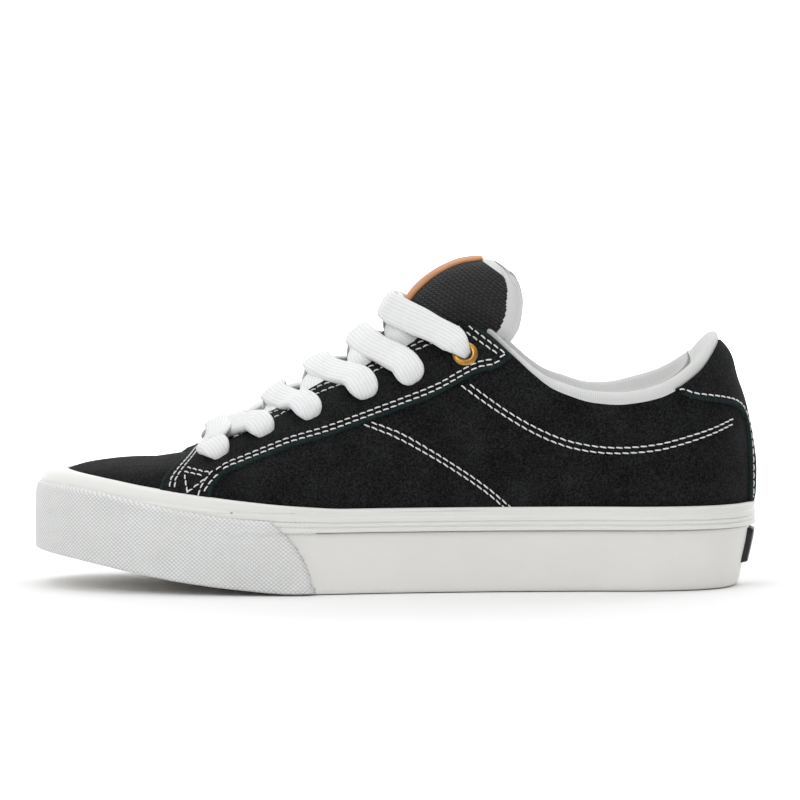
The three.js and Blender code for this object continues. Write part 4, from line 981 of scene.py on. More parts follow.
def inside(places, loop):
    """Whether flat places lie inside a closed line"""
    x, y = places[:, 0:1], places[:, 1:2]
    x0, y0 = loop[:, 0][None], loop[:, 1][None]
    x1, y1 = np.roll(loop[:, 0], -1)[None], np.roll(loop[:, 1], -1)[None]
    crosses = ((y0 > y) != (y1 > y)) & (x < (x1 - x0) * (y - y0) / np.where(y1 == y0, 1e-9, y1 - y0) + x0)
    return crosses.sum(axis=1) % 2 == 1


def drawn_in(loop, margin):
    """A closed line moved inwards by a margin"""
    tangent = unit(np.roll(loop, -1, axis=0) - np.roll(loop, 1, axis=0))
    normal = np.stack([-tangent[:, 1], tangent[:, 0]], axis=1)
    area = (loop[:, 0] * np.roll(loop[:, 1], -1) - np.roll(loop[:, 0], -1) * loop[:, 1]).sum()
    return loop + normal * margin * np.sign(area)


def softened(loop, times=2):
    for _ in range(times):
        loop = (np.roll(loop, 1, axis=0) + 2 * loop + np.roll(loop, -1, axis=0)) / 4
    return loop


def near_topline(points):
    """Whether places on the shoe are beside the collar's edge, where the binding covers a cut edge"""
    return points[..., 2] > topline_at(points[..., 0]) - BINDING_COVER


# A cut edge from its foot to the sheet's face: distance in from the outline, share of the thickness
CUT_PROFILE = [(0, -0.15), (0, 0.35), (0.14, 0.72), (0.5, 0.93), (1.5, 1)]


def overlay(name, surface, loop, holes, materials, replaces, thickness, lift, step=1.5):
    """A sheet of suede with rounded cut edges, on a map of the form"""
    points, faces, part, flat = [], [], [], []
    start = 0

    def add(rows, quads, kind, places):
        nonlocal start
        points.append(rows)
        faces.extend((np.asarray(quads) + start).tolist())
        kinds = np.full(len(quads), kind)
        kinds[near_topline(rows)[quads].all(axis=1) & (rows[quads][:, :, 0].mean(axis=1) > 70)] = 0
        part.extend(kinds.tolist())
        flat.append(places)
        start += len(rows)

    loops = []
    for line, outward in [(loop, 1)] + [(hole, -1) for hole in holes]:
        lines = [drawn_in(line, outward * inset) if inset else line for inset, _ in CUT_PROFILE]
        heights = [thickness * share for _, share in CUT_PROFILE]
        if outward < 0:
            heights[0] = -UPPER_WALL
        rows = [surface.at(l, np.full(len(l), h)) for l, h in zip(lines, heights)]
        for k in range(len(rows) - 1):
            pair = np.concatenate([rows[k], rows[k + 1]])
            add(pair, grid_faces(2, len(line), True), 1, np.concatenate([lines[k], lines[k + 1]]))
        loops.append(lines[-1])
    low, high = loop.min(0), loop.max(0)
    grid = np.meshgrid(np.arange(low[0], high[0], step), np.arange(low[1], high[1], step))
    spots = np.stack(grid, -1).reshape(-1, 2)
    spots[:, 0] += (np.round(spots[:, 1] / step) % 2) * step / 2
    kept = inside(spots, drawn_in(loops[0], step * 0.45))
    for hole in loops[1:]:
        middle = hole.mean(0)
        kept &= np.linalg.norm(spots - middle, axis=1) > np.linalg.norm(hole[0] - middle) + step * 0.45
    corners = np.concatenate(loops + [spots[kept]])
    edges, base = [], 0
    for line in loops:
        edges += [(base + i, base + (i + 1) % len(line)) for i in range(len(line))]
        base += len(line)
    found = delaunay_2d_cdt([Vector(c) for c in corners.tolist()], edges, [], 0, 1e-5)
    places = np.array([tuple(v) for v in found[0]])
    triangles = np.array(found[2])
    centres = places[triangles].mean(axis=1)
    keep = inside(centres, loops[0])
    for hole in loops[1:]:
        keep &= ~inside(centres, hole)
    heights = thickness + lift(surface.at(places))
    rim = np.min([np.linalg.norm(places[:, None] - line[None], axis=2).min(axis=1) for line in loops], axis=0)
    heights = np.where(rim < 1e-4, thickness, heights)
    add(surface.at(places, heights), triangles[keep], 0, places)
    make_piece(name, np.concatenate(points), faces, materials, replaces, part, np.concatenate(flat))


def lines_to(surface_place, points, side, step=1.3):
    line = resample(spline(points, 10), step)
    return surface_place(line[:, 0], line[:, 1], side)


def top_edge(along, side):
    """Place of the upper's top edge on the arch map"""
    spokes = across(along, side)
    turns, _ = top_turns(spokes)
    points = arch_points(spokes, rise_of_turn(spokes, turns))
    return arch_place(points[:, 0], points[:, 2], side)


def stay_loop():
    """Outline of the eyestay on the arch map, both sides and the strip before the throat"""
    lower = np.stack(side_view(EYESTAY_LOWER), axis=1)
    front = np.stack(side_view(EYESTAY_FRONT), axis=1)
    halves = {}
    for side in (-1, 1):
        lower_line = lines_to(arch_place, lower, side)
        front_line = lines_to(arch_place, front, side)
        foot = np.linspace(lower_line[-1], front_line[0], 18)[1:-1]
        ridge = np.linspace(front_line[-1], [front_line[-1, 0] + 0.3, 0], 14)[1:]
        bow = 1 - np.cos(np.linspace(0.12, 1.5, 14))
        along = np.concatenate([THROAT_FRONT + THROAT_FOOT_RADIUS / LAST_LENGTH * bow,
                                np.linspace(0.318, 0.578, 62)])
        edge = top_edge(along, side)
        rear = top_edge(np.linspace(0.582, EYESTAY_LOWER["along"][0] - 0.001, 20), side)
        halves[side] = (lower_line, foot, front_line, ridge, edge, rear)
    a, b = halves[-1], halves[1]
    outer = np.concatenate([a[0], a[1], a[2], a[3]])
    inner = np.concatenate([b[0], b[1], b[2], b[3][:-1]])[::-1]
    slot_ = np.concatenate([b[5][::-1], b[4][::-1], a[4], a[5]])
    loop = np.concatenate([outer, inner, slot_])
    gaps = np.linalg.norm(loop - np.roll(loop, 1, axis=0), axis=1)
    return softened(loop[gaps > 0.15], 2)


def round_holes(places, radius, count=20):
    turns = np.linspace(0, 2 * math.pi, count, endpoint=False)
    ring_ = radius * np.stack([np.cos(turns), np.sin(turns)], axis=1)
    return [place + ring_ for place in places]


STAY = stay_loop()
stay_holes = round_holes(np.concatenate([EYELET_PLACES[-1], EYELET_PLACES[1]]), EYELET_HOLE_RADIUS)
overlay("eyestay_suede", ARCH, STAY, stay_holes, [BLACK_SUEDE, CUT_EDGE], ["eyestay"],
        OVERLAY_TOP, lambda p: 0.1 * soft_waves(p, 14, 5))


def patch_loop():
    """Outline of the heel patch on the heel map"""
    x, z = side_view(HEEL_PATCH_EDGE)
    edges = {side: lines_to(heel_place, np.stack([x, z], axis=1), side) for side in (-1, 1)}
    for side, edge in edges.items():
        spots = HEEL.at(edge)
        edges[side] = edge[spots[:, 2] < topline_at(spots[:, 0]) - 0.3]
    first, last = edges[-1][0, 0], edges[1][0, 0]
    arcs = np.linspace(last, first, 90)[1:-1]
    level = np.full(len(arcs), 80.0)
    for _ in range(30):
        level = (level + topline_at(HEEL.at(np.stack([arcs, level], axis=1))[:, 0])) / 2
    top = np.stack([arcs, level - 0.1], axis=1)
    starts = [np.array([[edges[side][0, 0], level[0 if side > 0 else -1]]]) for side in (-1, 1)]
    bottom = np.linspace(edges[-1][-1], edges[1][-1], 16)[1:-1]
    return softened(np.concatenate([starts[0], edges[-1], bottom, edges[1][::-1], starts[1], top]), 1)


PATCH = patch_loop()
overlay("heel_patch_suede", HEEL, PATCH, [], [BLACK_SUEDE, CUT_EDGE], ["heel_patch"],
        OVERLAY_TOP, lambda p: 0.1 * soft_waves(p, 14, 6))


# Tongue

tongue = columns(TONGUE, "reach")
EDGING_WIDTHS = [7, 7.6, 8.8, 8, 7]
TONGUE_ROOM = 22.5


def tongue_middle(reach, turn):
    """Points on the outer face of the tongue: reach up it, turn from -1 to 1 across it"""
    reach, turn = np.broadcast_arrays(reach, turn)
    crest = np.stack([tongue["crest_x"](reach), tongue["crest_z"](reach)], axis=-1)
    edge = np.stack([tongue["edge_x"](reach), tongue["edge_z"](reach)], axis=-1)
    angle = turn * math.pi / 2
    power = 2 / TONGUE_SQUARENESS
    plan = crest + (edge - crest) * (1 - np.cos(angle) ** power)[..., None]
    side = np.sign(turn) * np.abs(np.sin(angle)) ** power
    y = form["side"](to_along(crest[..., 0])) * LAST_WIDTH + tongue["half"](reach) * side
    return np.stack([plan[..., 0], y, plan[..., 1]], axis=-1)


tip_turns = np.linspace(0, math.pi / 2, 22)[1:]
TONGUE_REACHES = np.concatenate([np.linspace(0, 0.9, 96), 1 - 0.1 * (1 - np.sin(tip_turns))])
TONGUE_TURNS = 0.996 * np.sin(np.linspace(-1, 1, 181) * math.pi / 2)
tongue_face = tongue_middle(TONGUE_REACHES[:, None], TONGUE_TURNS[None])
tongue_away = unit(np.cross(np.gradient(tongue_face, axis=1), np.gradient(tongue_face, axis=0)))
if tongue_away[60, 60, 2] < 0:
    tongue_away = -tongue_away


def on_tongue(reach, turn, height):
    """A point over the tongue's outer face, and the direction out of it"""
    row = np.interp(reach, TONGUE_REACHES, np.arange(len(TONGUE_REACHES)))
    column = np.interp(turn, TONGUE_TURNS, np.arange(len(TONGUE_TURNS)))
    i, j = np.clip(np.round(row).astype(int), 0, None), np.round(column).astype(int)
    away = tongue_away[i, j]
    return tongue_middle(reach, turn) + away * np.asarray(height)[..., None], away


def turn_of(reach, y):
    """The turn at which the tongue's face is a distance to the side of its middle"""
    share = np.clip(np.asarray(y) / tongue["half"](reach), -0.999, 0.999)
    return np.sign(share) * np.arcsin(np.abs(share) ** (TONGUE_SQUARENESS / 2)) * 2 / math.pi


def edging_turn(reach):
    """The turn at which the black mesh meets the white edging, a few millimetres before the edge"""
    gap_x = tongue["edge_x"](reach) - tongue["crest_x"](reach)
    gap_z = tongue["edge_z"](reach) - tongue["crest_z"](reach)
    share = np.clip(np.interp(reach, [0, 0.8, 0.9, 0.96, 1], EDGING_WIDTHS) / np.hypot(gap_x, gap_z), 0, 0.9)
    return 1 - np.arcsin(share ** (TONGUE_SQUARENESS / 2)) * 2 / math.pi


def within_collar(points):
    """Draws the sides of the tongue in where they stand behind the binding of the collar"""
    near = np.clip((topline_at(points[..., 0]) + 8 - points[..., 2]) / 5, 0, 1) * (points[..., 0] > 18)
    y = points[..., 1]
    room = np.clip(np.abs(y), 0, TONGUE_ROOM)
    drawn = points.copy()
    drawn[..., 1] = np.sign(y) * (np.abs(y) + (room - np.abs(y)) * near)
    return drawn


def make_tongue():
    reach, turn = TONGUE_REACHES[:, None], TONGUE_TURNS[None]
    thick = TONGUE_THICKNESS * tongue["thick"](reach)
    fall = (1 - np.abs(turn / TONGUE_TURNS[-1]) ** 5) ** 0.5
    end = np.sqrt(np.clip(1 - np.clip((reach - 0.965) / 0.035, 0, 1) ** 2, 0, 1))
    body = np.maximum(thick * fall * end, 0.02)
    seam = edging_turn(reach)
    dent = np.exp(-(((np.abs(turn) - seam) / 0.02) ** 2)) * np.clip((reach - 0.6) * 10, 0, 1)
    puff = 0.35 * soft_waves(tongue_face, 26, 8) * fall
    top = np.exp(-(((reach - 0.975) / 0.008) ** 2))
    drop = 0.12 * thick * (1 - end)
    height = puff - 0.7 * dent - 0.4 * top - 0.35 * thick * (1 - fall) - drop
    outer = tongue_face + tongue_away * height[..., None]
    inner = tongue_face - tongue_away * (body * 0.98 + drop)[..., None]
    rows, count = outer.shape[:2]
    loop = within_collar(np.concatenate([outer, inner[:, ::-1]], axis=1))
    quads = grid_faces(rows, 2 * count, True)
    quads = np.concatenate([quads, *loop_caps(rows, count)])
    column = quads % (2 * count)
    row = quads // (2 * count)
    across_ = column.min(axis=1)
    is_outer = column.max(axis=1) < count
    share = np.abs(TONGUE_TURNS[np.clip(across_, 0, count - 1)])
    limit = edging_turn(TONGUE_REACHES)[row.min(axis=1)]
    white = ~is_outer | (share > limit) | (TONGUE_REACHES[row.min(axis=1)] > 0.968)
    u = np.cumsum(np.linalg.norm(np.diff(loop, axis=1, prepend=loop[:, :1]), axis=2), axis=1)
    v = np.cumsum(np.linalg.norm(np.diff(loop[:, count // 2], axis=0, prepend=loop[:1, count // 2]), axis=1))
    flat = np.stack([u - u[:, count // 2: count // 2 + 1], np.broadcast_to(v[:, None], u.shape)], axis=-1)
    piece = make_piece("tongue_padded", loop.reshape(-1, 3), quads, [TONGUE_MESH, LINING],
                       ["tongue"], white.astype(int), flat.reshape(-1, 2))


make_tongue()


def make_tongue_label():
    """The blank tan patch on the crest of the tongue, with rounded corners"""
    low, high = 0.736, 0.972
    count, across_count = 40, 31
    reach = np.linspace(low, high, count)
    length = TONGUE_LABEL_LENGTH
    rows = []
    for r in reach:
        far = min(r - low, high - r) / (high - low) * length
        corner = TONGUE_LABEL_CORNER
        cut = corner - math.sqrt(max(0.0, corner**2 - max(0.0, corner - far) ** 2))
        half = TONGUE_LABEL_HALF_WIDTH - cut
        rows.append(turn_of(r, np.linspace(-1, 1, across_count) * half))
    turns = np.array(rows)
    reaches = np.broadcast_to(reach[:, None], turns.shape)
    edge = np.minimum(np.linspace(0, 1, across_count), np.linspace(1, 0, across_count))[None] * 30
    edge = np.minimum(edge, np.minimum(reach - low, high - reach)[:, None] / (high - low) * length)
    top = CLEARANCE + TONGUE_LABEL_THICKNESS - 0.4 * np.exp(-edge / 0.5)
    upper_face, _ = on_tongue(reaches, turns, top)
    lower_face, _ = on_tongue(reaches, turns, np.full(turns.shape, -0.3))
    loop = np.concatenate([upper_face, lower_face[:, ::-1]], axis=1)
    quads = grid_faces(count, 2 * across_count, True)
    quads = np.concatenate([quads, *loop_caps(count, across_count)])
    make_piece("tongue_label_leather", loop.reshape(-1, 3), quads, [TAN], ["tongue_label"])


make_tongue_label()


# Collar padding

COLLAR_FALL = 0.38
COLLAR_PROFILE = [
    (0.1, -1), (0.02, -0.8), (0, -0.5), (0, -0.25), (0, 0), (0, 0.35), (0.04, 0.65), (0.12, 0.88), (0.24, 0.99),
    (0.4, 0.86), (0.56, 0.5), (0.7, 0.12), (0.82, -0.08), (0.92, -0.2), (0.98, -0.34), (0.97, -0.42),
    (0.88, -0.56), (0.68, -0.74), (0.46, -0.88), (0.26, -1),
]
COLLAR_RISE = dict(x=[28, 36, 44, 55, 75, 105, 122, 134], rise=[2.2, 3, 3.4, 3.2, 3.6, 4.6, 5.4, 4.8])


def make_collar():
    """White padded lining: a thin binding from the eyestay's corner that swells to a full roll at the heel"""
    along = np.linspace(0.585, HEEL_CENTRE, 110)
    angles = np.linspace(-math.pi / 2, math.pi / 2, 90)[1:-1]
    spokes = joined(across(along, -1), fan(HEEL_CENTRE, angles), across(along[::-1], 1))
    edge = np.full(len(spokes.along), 80.0)
    for _ in range(40):
        edge = (edge + topline_at(form_points(spokes, edge)[:, 0])) / 2
    x = form_points(spokes, edge)[:, 0]
    swell = np.clip((x - 30) / 40, 0.0, 1)
    swell = swell * swell * (3 - 2 * swell)
    swell = 0.26 + 0.74 * swell
    rise = np.interp(x, COLLAR_RISE["x"], COLLAR_RISE["rise"])
    rise = rise + 2.4 * np.exp(-(((x - 110) / 18) ** 2)) * (spokes.base[:, 1] > 0)
    thick = COLLAR_THICKNESS * swell
    deep = COLLAR_DEPTH * np.clip(swell, 0.5, 1)
    line = resample(np.vstack([spline(np.array(COLLAR_PROFILE) * [8, 10], 6), [[0.8, -10]]]), 0.42) / [8, 10]
    rows = []
    for depth, height in line:
        z = edge + np.where(height > 0, rise, deep) * height
        over = np.clip((height + 0.25) * 4, 0, 1) * (UPPER_WALL + 0.9) * swell
        inward = UPPER_WALL + 2 * CLEARANCE + depth * thick - over * (1 - depth)
        point = outside(spokes, np.minimum(z, edge), -inward)
        sink = np.clip(edge - topline_at(point[:, 0]), 0, None) * COLLAR_FALL * np.clip(height + 0.8, 0, 1)
        point[:, 2] = z - sink
        rows.append(point)
    rows = np.array(rows)
    count = rows.shape[1]
    along_ring = np.cumsum(np.linalg.norm(np.diff(rows[0], axis=0, prepend=rows[0][:1]), axis=1))
    quads = np.concatenate([grid_faces(len(rows), count), close_ring(len(rows), count)[:-1]]).tolist()
    puff = 0.35 * soft_waves(rows, 30, 9)[..., None] * np.array([0, 0, 1])
    quads += side_caps(len(rows), count)
    piece = make_piece("collar_padded", (rows + puff).reshape(-1, 3), quads, [LINING],
                       ["collar"], None, flat_places(along_ring, rows))


make_collar()


# Laces

SECTION_TURNS = np.linspace(0, 2 * math.pi, 28, endpoint=False)


def ribbon_section(width, thickness):
    """Corners of a flat tube's section: across and up"""
    c, s = np.cos(SECTION_TURNS), np.sin(SECTION_TURNS)
    return np.sign(c) * np.abs(c) ** 0.75 * width / 2, np.sign(s) * np.abs(s) ** 0.8 * thickness / 2


def ribbon(route, faces_, widths, thicknesses, seed):
    """A flat tube along points, its flat side turned to the given directions"""
    fine = resample(spline(route, 16), 0.9)
    coarse_far = distances(route)
    fine_far = np.linspace(0, coarse_far[-1], len(fine))
    face = unit(np.stack([smooth_curve(coarse_far, faces_[:, k])(fine_far) for k in range(3)], axis=1))
    width = smooth_curve(coarse_far, widths)(fine_far)
    thickness = smooth_curve(coarse_far, thicknesses)(fine_far)
    wobble = np.random.default_rng(seed)
    phase = wobble.uniform(0, 6.3, 3)
    width = width * (1 + 0.035 * np.sin(fine_far / 5.1 + phase[0]) + 0.02 * np.sin(fine_far / 2.3 + phase[1]))
    forward = unit(np.gradient(fine, axis=0))
    wide = np.cross(forward, face)
    clear = np.nonzero(np.linalg.norm(wide, axis=1) > 0.6)[0]
    nearest = clear[np.abs(np.arange(len(fine))[:, None] - clear).argmin(axis=1)]
    wide = unit(wide[nearest])
    wide = unit(wide - forward * np.sum(wide * forward, axis=1)[:, None])
    up = unit(np.cross(wide, forward))
    twist = 0.1 * np.sin(fine_far / 16 + phase[2])
    wide, up = (wide * np.cos(twist)[:, None] + up * np.sin(twist)[:, None],
                up * np.cos(twist)[:, None] - wide * np.sin(twist)[:, None])
    points, flat = [], []
    for k in range(len(fine)):
        a, b = ribbon_section(width[k], thickness[k])
        groove = 1 - 0.035 * np.cos(a * 2 * math.pi / 3.1)
        points.append(fine[k] + a[:, None] * wide[k] + (b * groove)[:, None] * up[k])
        flat.append(np.stack([np.full(len(a), fine_far[k]), a], axis=1))
    rows = len(fine)
    quads = grid_faces(rows, len(SECTION_TURNS), True)
    return np.concatenate(points), quads, np.concatenate(flat)


THROAT_SLOPE = math.radians(40)
LACE_SPREAD = 21
LACE_LEAD = 0.01
LACE_BOW = 1.6


def beside_eyelets():
    """How far up the tongue each eyelet is, measured along the slope of the throat"""
    reach = np.linspace(0, 1, 400)
    slope = np.array([math.cos(THROAT_SLOPE), math.sin(THROAT_SLOPE)])
    climb = np.stack([tongue["crest_x"](reach), tongue["crest_z"](reach)], axis=1) @ slope
    return np.interp(np.stack([EYELET_X, EYELET_Z], axis=1) @ slope, climb, reach)


EYELET_REACH = beside_eyelets()


def over_stay(side, row, toward, height):
    """A point over the eyestay near an eyelet, moved towards the throat, and the direction out"""
    place = EYELET_PLACES[side][row] + np.array([toward[0], -side * toward[1]])
    spot = ARCH.at(place[None], np.array([height]))[0]
    return spot, unit(ARCH.sample(ARCH.normals, place[None]))[0]


def crossing(row, start_side, hump, seed):
    """A strand from under the eyestay beside one eyelet, over the tongue, into the next one opposite"""
    end_side = -start_side
    steps = []
    spot, away = over_stay(start_side, row, (1.0, 1.0), -UPPER_WALL - 3.0)
    steps.append((spot, away, 5.5, 3.6))
    spot, away = over_stay(start_side, row, (2.2, 9.5), -UPPER_WALL - 1.9)
    steps.append((spot, away, 10.0, 3.6))
    low, high = EYELET_REACH[row], EYELET_REACH[row + 1]
    middle = (low + high) / 2 + LACE_LEAD
    ends = TOP_END if row + 2 == len(EYELET_X) else LOW_END
    goal, _ = over_stay(end_side, row + 1, ends[0][:2], LACE_REST + ends[0][2])
    crest = None
    for t in (0.06, 0.2, 0.34, 0.5, 0.64, 0.78, 0.9):
        share = abs(1 - 2 * t)
        target = low if t < 0.5 else high
        reach = middle + (target - middle) * share ** 3 * 0.75
        turn = float(turn_of(reach, start_side * LACE_SPREAD * (1 - 2 * t)))
        lift = LACE_THICKNESS / 2 + 0.4 + hump * math.sin(math.pi * t) ** 1.5
        spot, away = on_tongue(np.array([reach]), np.array([turn]), np.array([lift]))
        spot = spot[0]
        if t == 0.64:
            crest = spot
        if t > 0.64:
            fall = (crest[2] - spot[2]) / (crest[2] - goal[2])
            line_x = crest[0] + (goal[0] - crest[0]) * fall - LACE_BOW * math.sin(math.pi * fall)
            spot[0] = min(spot[0], line_x)
        steps.append((spot, away[0], LACE_WIDTH, LACE_THICKNESS))
    for along, up, lift, wide, thick in ends:
        spot, away = over_stay(end_side, row + 1, (along, up), LACE_REST + lift)
        steps.append((spot, away, LACE_WIDTH * wide, LACE_THICKNESS * thick))
    return steps, seed


# How a strand ends at its eyelet: way along the shoe and towards the throat from the hole, lift over
# the resting height, width and thickness in shares of the lace's
LOW_END = [
    (-3.0, 5.4, 1.0, 1.0, 1.05),
    (-1.5, 2.2, 1.1, 1.0, 1.15),
    (-0.4, -0.6, 0.8, 0.96, 1.15),
    (0.2, -2.2, -0.4, 0.84, 1.05),
    (0.4, -2.8, -2.4, 0.6, 0.85),
    (0.4, -2.8, -4.8, 0.4, 0.6),
]
TOP_END = [
    (-5.4, 6.6, 1.2, 0.98, 1.0),
    (-2.6, 3.2, 1.2, 0.78, 1.1),
    (-0.9, 1.0, 0.4, 0.55, 1.0),
    (0.0, 0.2, -1.8, 0.4, 0.8),
    (0.2, 0.0, -6.0, 0.36, 0.75),
]


def bar():
    """The straight strand of the bottom row, over the foot of the throat"""
    half = []
    for side in (-1, 1):
        steps = [(*over_stay(side, 0, (along + 1.2, up), LACE_REST + lift), LACE_WIDTH * wide,
                  LACE_THICKNESS * thick) for along, up, lift, wide, thick in LOW_END[::-1]]
        spot, away = over_stay(side, 0, (1.4, 9.5), LACE_REST + 2.2)
        half.append([*steps, (spot, away, LACE_WIDTH, LACE_THICKNESS)])
    x = EYELET_PLACES[-1][0, 0]
    middle = ARCH.at(np.array([[x + 2, 0.0]]), np.array([LACE_REST + 2.6]))[0]
    return half[0] + [(middle, np.array([-0.35, 0, 1.0]), LACE_WIDTH, LACE_THICKNESS)] + half[1][::-1], 40


def make_laces():
    strands = [bar()]
    for row in range(len(EYELETS["along"]) - 1):
        strands.append(crossing(row, -1, 0.0, 50 + row))
        strands.append(crossing(row, 1, LACE_THICKNESS * 0.95, 60 + row))
    points, faces, flat, start = [], [], [], 0
    for steps, seed in strands:
        route, away, width, thickness = (np.array([s[k] for s in steps], float) for k in range(4))
        p, q, f = ribbon(route, unit(away), width, thickness, seed)
        points.append(p)
        faces += (q + start).tolist()
        last = start + len(p) - len(SECTION_TURNS)
        faces.append(list(range(start, start + len(SECTION_TURNS)))[::-1])
        faces.append(list(range(last, last + len(SECTION_TURNS))))
        flat.append(f)
        start += len(p)
    make_piece("laces_cotton", np.concatenate(points), faces, [LACE], ["laces"], None,
               np.concatenate(flat), merge=False)


make_laces()


# Brass eyelets of the top row

EYELET_PROFILE = [(2.6, -2.6), (2.6, 0.35), (2.75, 0.75), (3.1, 1), (3.8, 1.05), (4.6, 0.85), (5.15, 0.5),
                  (5.3, 0.1),
                  (5.2, -0.1), (3.2, -0.15), (3, -2.6)]


def make_eyelet(side, name):
    place = EYELET_PLACES[side][-1:]
    spot = ARCH.at(place, np.array([OVERLAY_TOP]))[0]
    out = unit(ARCH.sample(ARCH.normals, place))[0]
    wide = unit(np.cross(out, [0, 0, 1]))
    up = np.cross(out, wide)
    turns = np.linspace(0, 2 * math.pi, 64, endpoint=False)
    ring_ = np.cos(turns)[:, None] * wide + np.sin(turns)[:, None] * up
    rows = np.stack([spot + radius * ring_ + height * out for radius, height in EYELET_PROFILE])
    quads = np.concatenate([grid_faces(len(rows), 64, True), close_ring(len(rows), 64)])
    make_piece(name + "_brass", rows.reshape(-1, 3), quads, [BRASS], [name])


make_eyelet(-1, "eyelet_lateral")
make_eyelet(1, "eyelet_medial")


# Stitches

def stitch_row(spot, away, lift, length=2.75, gap=0.55, radius=0.32):
    """Small arched threads along a row on a surface"""
    far = distances(spot)
    starts = np.arange(gap / 2, far[-1] - length, length + gap)
    points, faces = [], []
    turns = np.linspace(0, 2 * math.pi, 7, endpoint=False)
    shares = np.array([0, 0.12, 0.32, 0.68, 0.88, 1])
    sizes = np.array([0.5, 0.9, 1, 1, 0.9, 0.5])
    tilt = np.array([-1, -0.7, -0.3, 0.3, 0.7, 1]) * 0.14
    heights = np.array([-0.25, 0.05, 0.24, 0.24, 0.05, -0.25])
    for start in starts:
        where = start + shares * length
        middle = np.stack([np.interp(where, far, spot[:, k]) for k in range(3)], axis=1)
        out = unit(np.stack([np.interp(where, far, away[:, k]) for k in range(3)], axis=1))
        forward = unit(middle[-1] - middle[0])
        wide = unit(np.cross(forward, out))
        middle = middle + out * (lift + heights)[:, None] + wide * tilt[:, None]
        ring_ = (np.cos(turns)[None, :, None] * wide[:, None]
                 + np.sin(turns)[None, :, None] * out[:, None] * 0.8)
        body = middle[:, None] + ring_ * (radius * sizes)[:, None, None]
        base = sum(len(p) for p in points)
        points.append(body.reshape(-1, 3))
        faces += (grid_faces(6, 7, True) + base).tolist()
        faces += [list(range(base, base + 7))[::-1], list(range(base + 35, base + 42))]
    return points, faces


def make_stitches(name, rows):
    """Many rows of stitches as one mesh"""
    points, faces, start = [], [], 0
    for spot, away, lift in rows:
        found, quads = stitch_row(spot, away, lift)
        if not found:
            continue
        whole = np.concatenate(found)
        points.append(whole)
        faces += [[i + start for i in f] for f in quads]
        start += len(whole)
    points = np.concatenate(points)
    make_piece(name, points, faces, [THREAD], (), None, points[:, :2], merge=False)


def on_map(surface, places, height):
    spot = surface.at(places, np.full(len(places), height))
    return spot, unit(surface.sample(surface.normals, places)), 0.0


STAY_HEM = 3.5


def stay_rows():
    """Rows inside the eyestay's edges: a double row along the lower edge, the front and the throat"""
    rows = []
    feet = ARCH.at(STAY)
    longer = STAY.copy()
    longer[:, 1] += np.sign(STAY[:, 1]) * STAY_HEM * (feet[:, 2] < foxing_top_at(feet[:, 0]) + 1.2)
    for inset in (1.9, 4.0):
        line = drawn_in(longer, inset)
        line = resample(np.vstack([line, line[:1]]), 0.5)
        x = line[:, 0]
        line[:, 0] += 2.4 * np.clip((-74 - x) / 4, 0, 1)
        z = ARCH.at(line)[:, 2]
        foot = (x > -84) & (z < 48.5) & (np.abs(line[:, 1]) > 38)
        lower = (np.abs(line[:, 1]) > np.where(x > 30, 41.5, 38)) & (x < (43 if inset < 3 else 40))
        shown = (z > foxing_top_at(x) + 0.7) & ~foot & (lower | (x < -72))
        pieces = np.split(np.arange(len(line)), np.nonzero(~shown)[0])
        for piece in pieces:
            piece = piece[shown[piece]]
            if len(piece) > 12:
                rows.append(on_map(ARCH, line[piece], OVERLAY_TOP))
    return rows


# Rows drawn on the eyestay: its reinforced corner at the foot, a double row beside the throat and
# the rear corner, seen from the side: x and height in millimetres
DRAWN_ROWS = [
    [(-84, 49.6), (-73.2, 48.2)],
    [(-85.2, 48), (-75.2, 46.8)],
    [(-84.6, 47.2), (-82.6, 38.8)],
    [(-75.6, 46.2), (-86, 39)],
    [(-72.8, 49.3), (-75.2, 46.6), (-77, 44.2), (-78.2, 41.8), (-78.8, 39.4)],
    [(-70.5, 48.2), (-73, 46), (-74.9, 43.8), (-76.4, 41.4), (-77, 39)],
    [(-66.5, 63.6), (-47.3, 71.6), (-29.5, 81.9), (-8.5, 90.3), (8.2, 98.7), (23, 106.2), (29.6, 107)],
    [(29.8, 107), (44.9, 96.2), (42.4, 94.6)],
    [(-65.2, 60.8), (-47.3, 69.6), (-29.5, 79.7), (-8.5, 87.8), (8.2, 96.5), (24, 103.6), (28.6, 104.6)],
    [(28.8, 104.6), (41.6, 96.2), (40, 95.2)],
]


def drawn_rows():
    rows = []
    for side in (-1, 1):
        for corners in DRAWN_ROWS:
            line = resample(np.array(corners, float), 0.5)
            rows.append(on_map(ARCH, arch_place(line[:, 0], line[:, 1], side), OVERLAY_TOP))
    return rows


seam_rows = [(spot, away, 0.0) for spot, away in seams.values()]
make_stitches("quarter_stitches", seam_rows)
make_stitches("eyestay_stitches", stay_rows() + drawn_rows())
patch_line = drawn_in(PATCH, 2.0)
patch_line = resample(np.vstack([patch_line, patch_line[:1]]), 0.5)
patch_line = patch_line[HEEL.at(patch_line)[:, 2] > FOXING_HEIGHT + 2]
below = HEEL.at(patch_line)[:, 2] < 82
make_stitches("heel_patch_stitches", [
    on_map(HEEL, patch_line[below & (side * patch_line[:, 0] > 0)], OVERLAY_TOP) for side in (-1, 1)])


# Sole

sole_x = ring.base[:, 0]


def ring_row(height, out):
    plan = ring.base + ring.normal * np.asarray(out * np.ones(len(sole_x)))[:, None]
    return np.concatenate([plan, (height * np.ones(len(sole_x)))[:, None]], axis=1)


def centre_row(height):
    return np.concatenate([ring.centre, (height * np.ones(len(sole_x)))[:, None]], axis=1)


def wall_out(rise, x=sole_x):
    """How far the side wall stands out of the last, at a share of its height"""
    along = to_along(x)
    return FOXING_OUT * sole["flare"](along) - WALL_TUCK * sole["tuck"](along) * tuck_profile(rise)


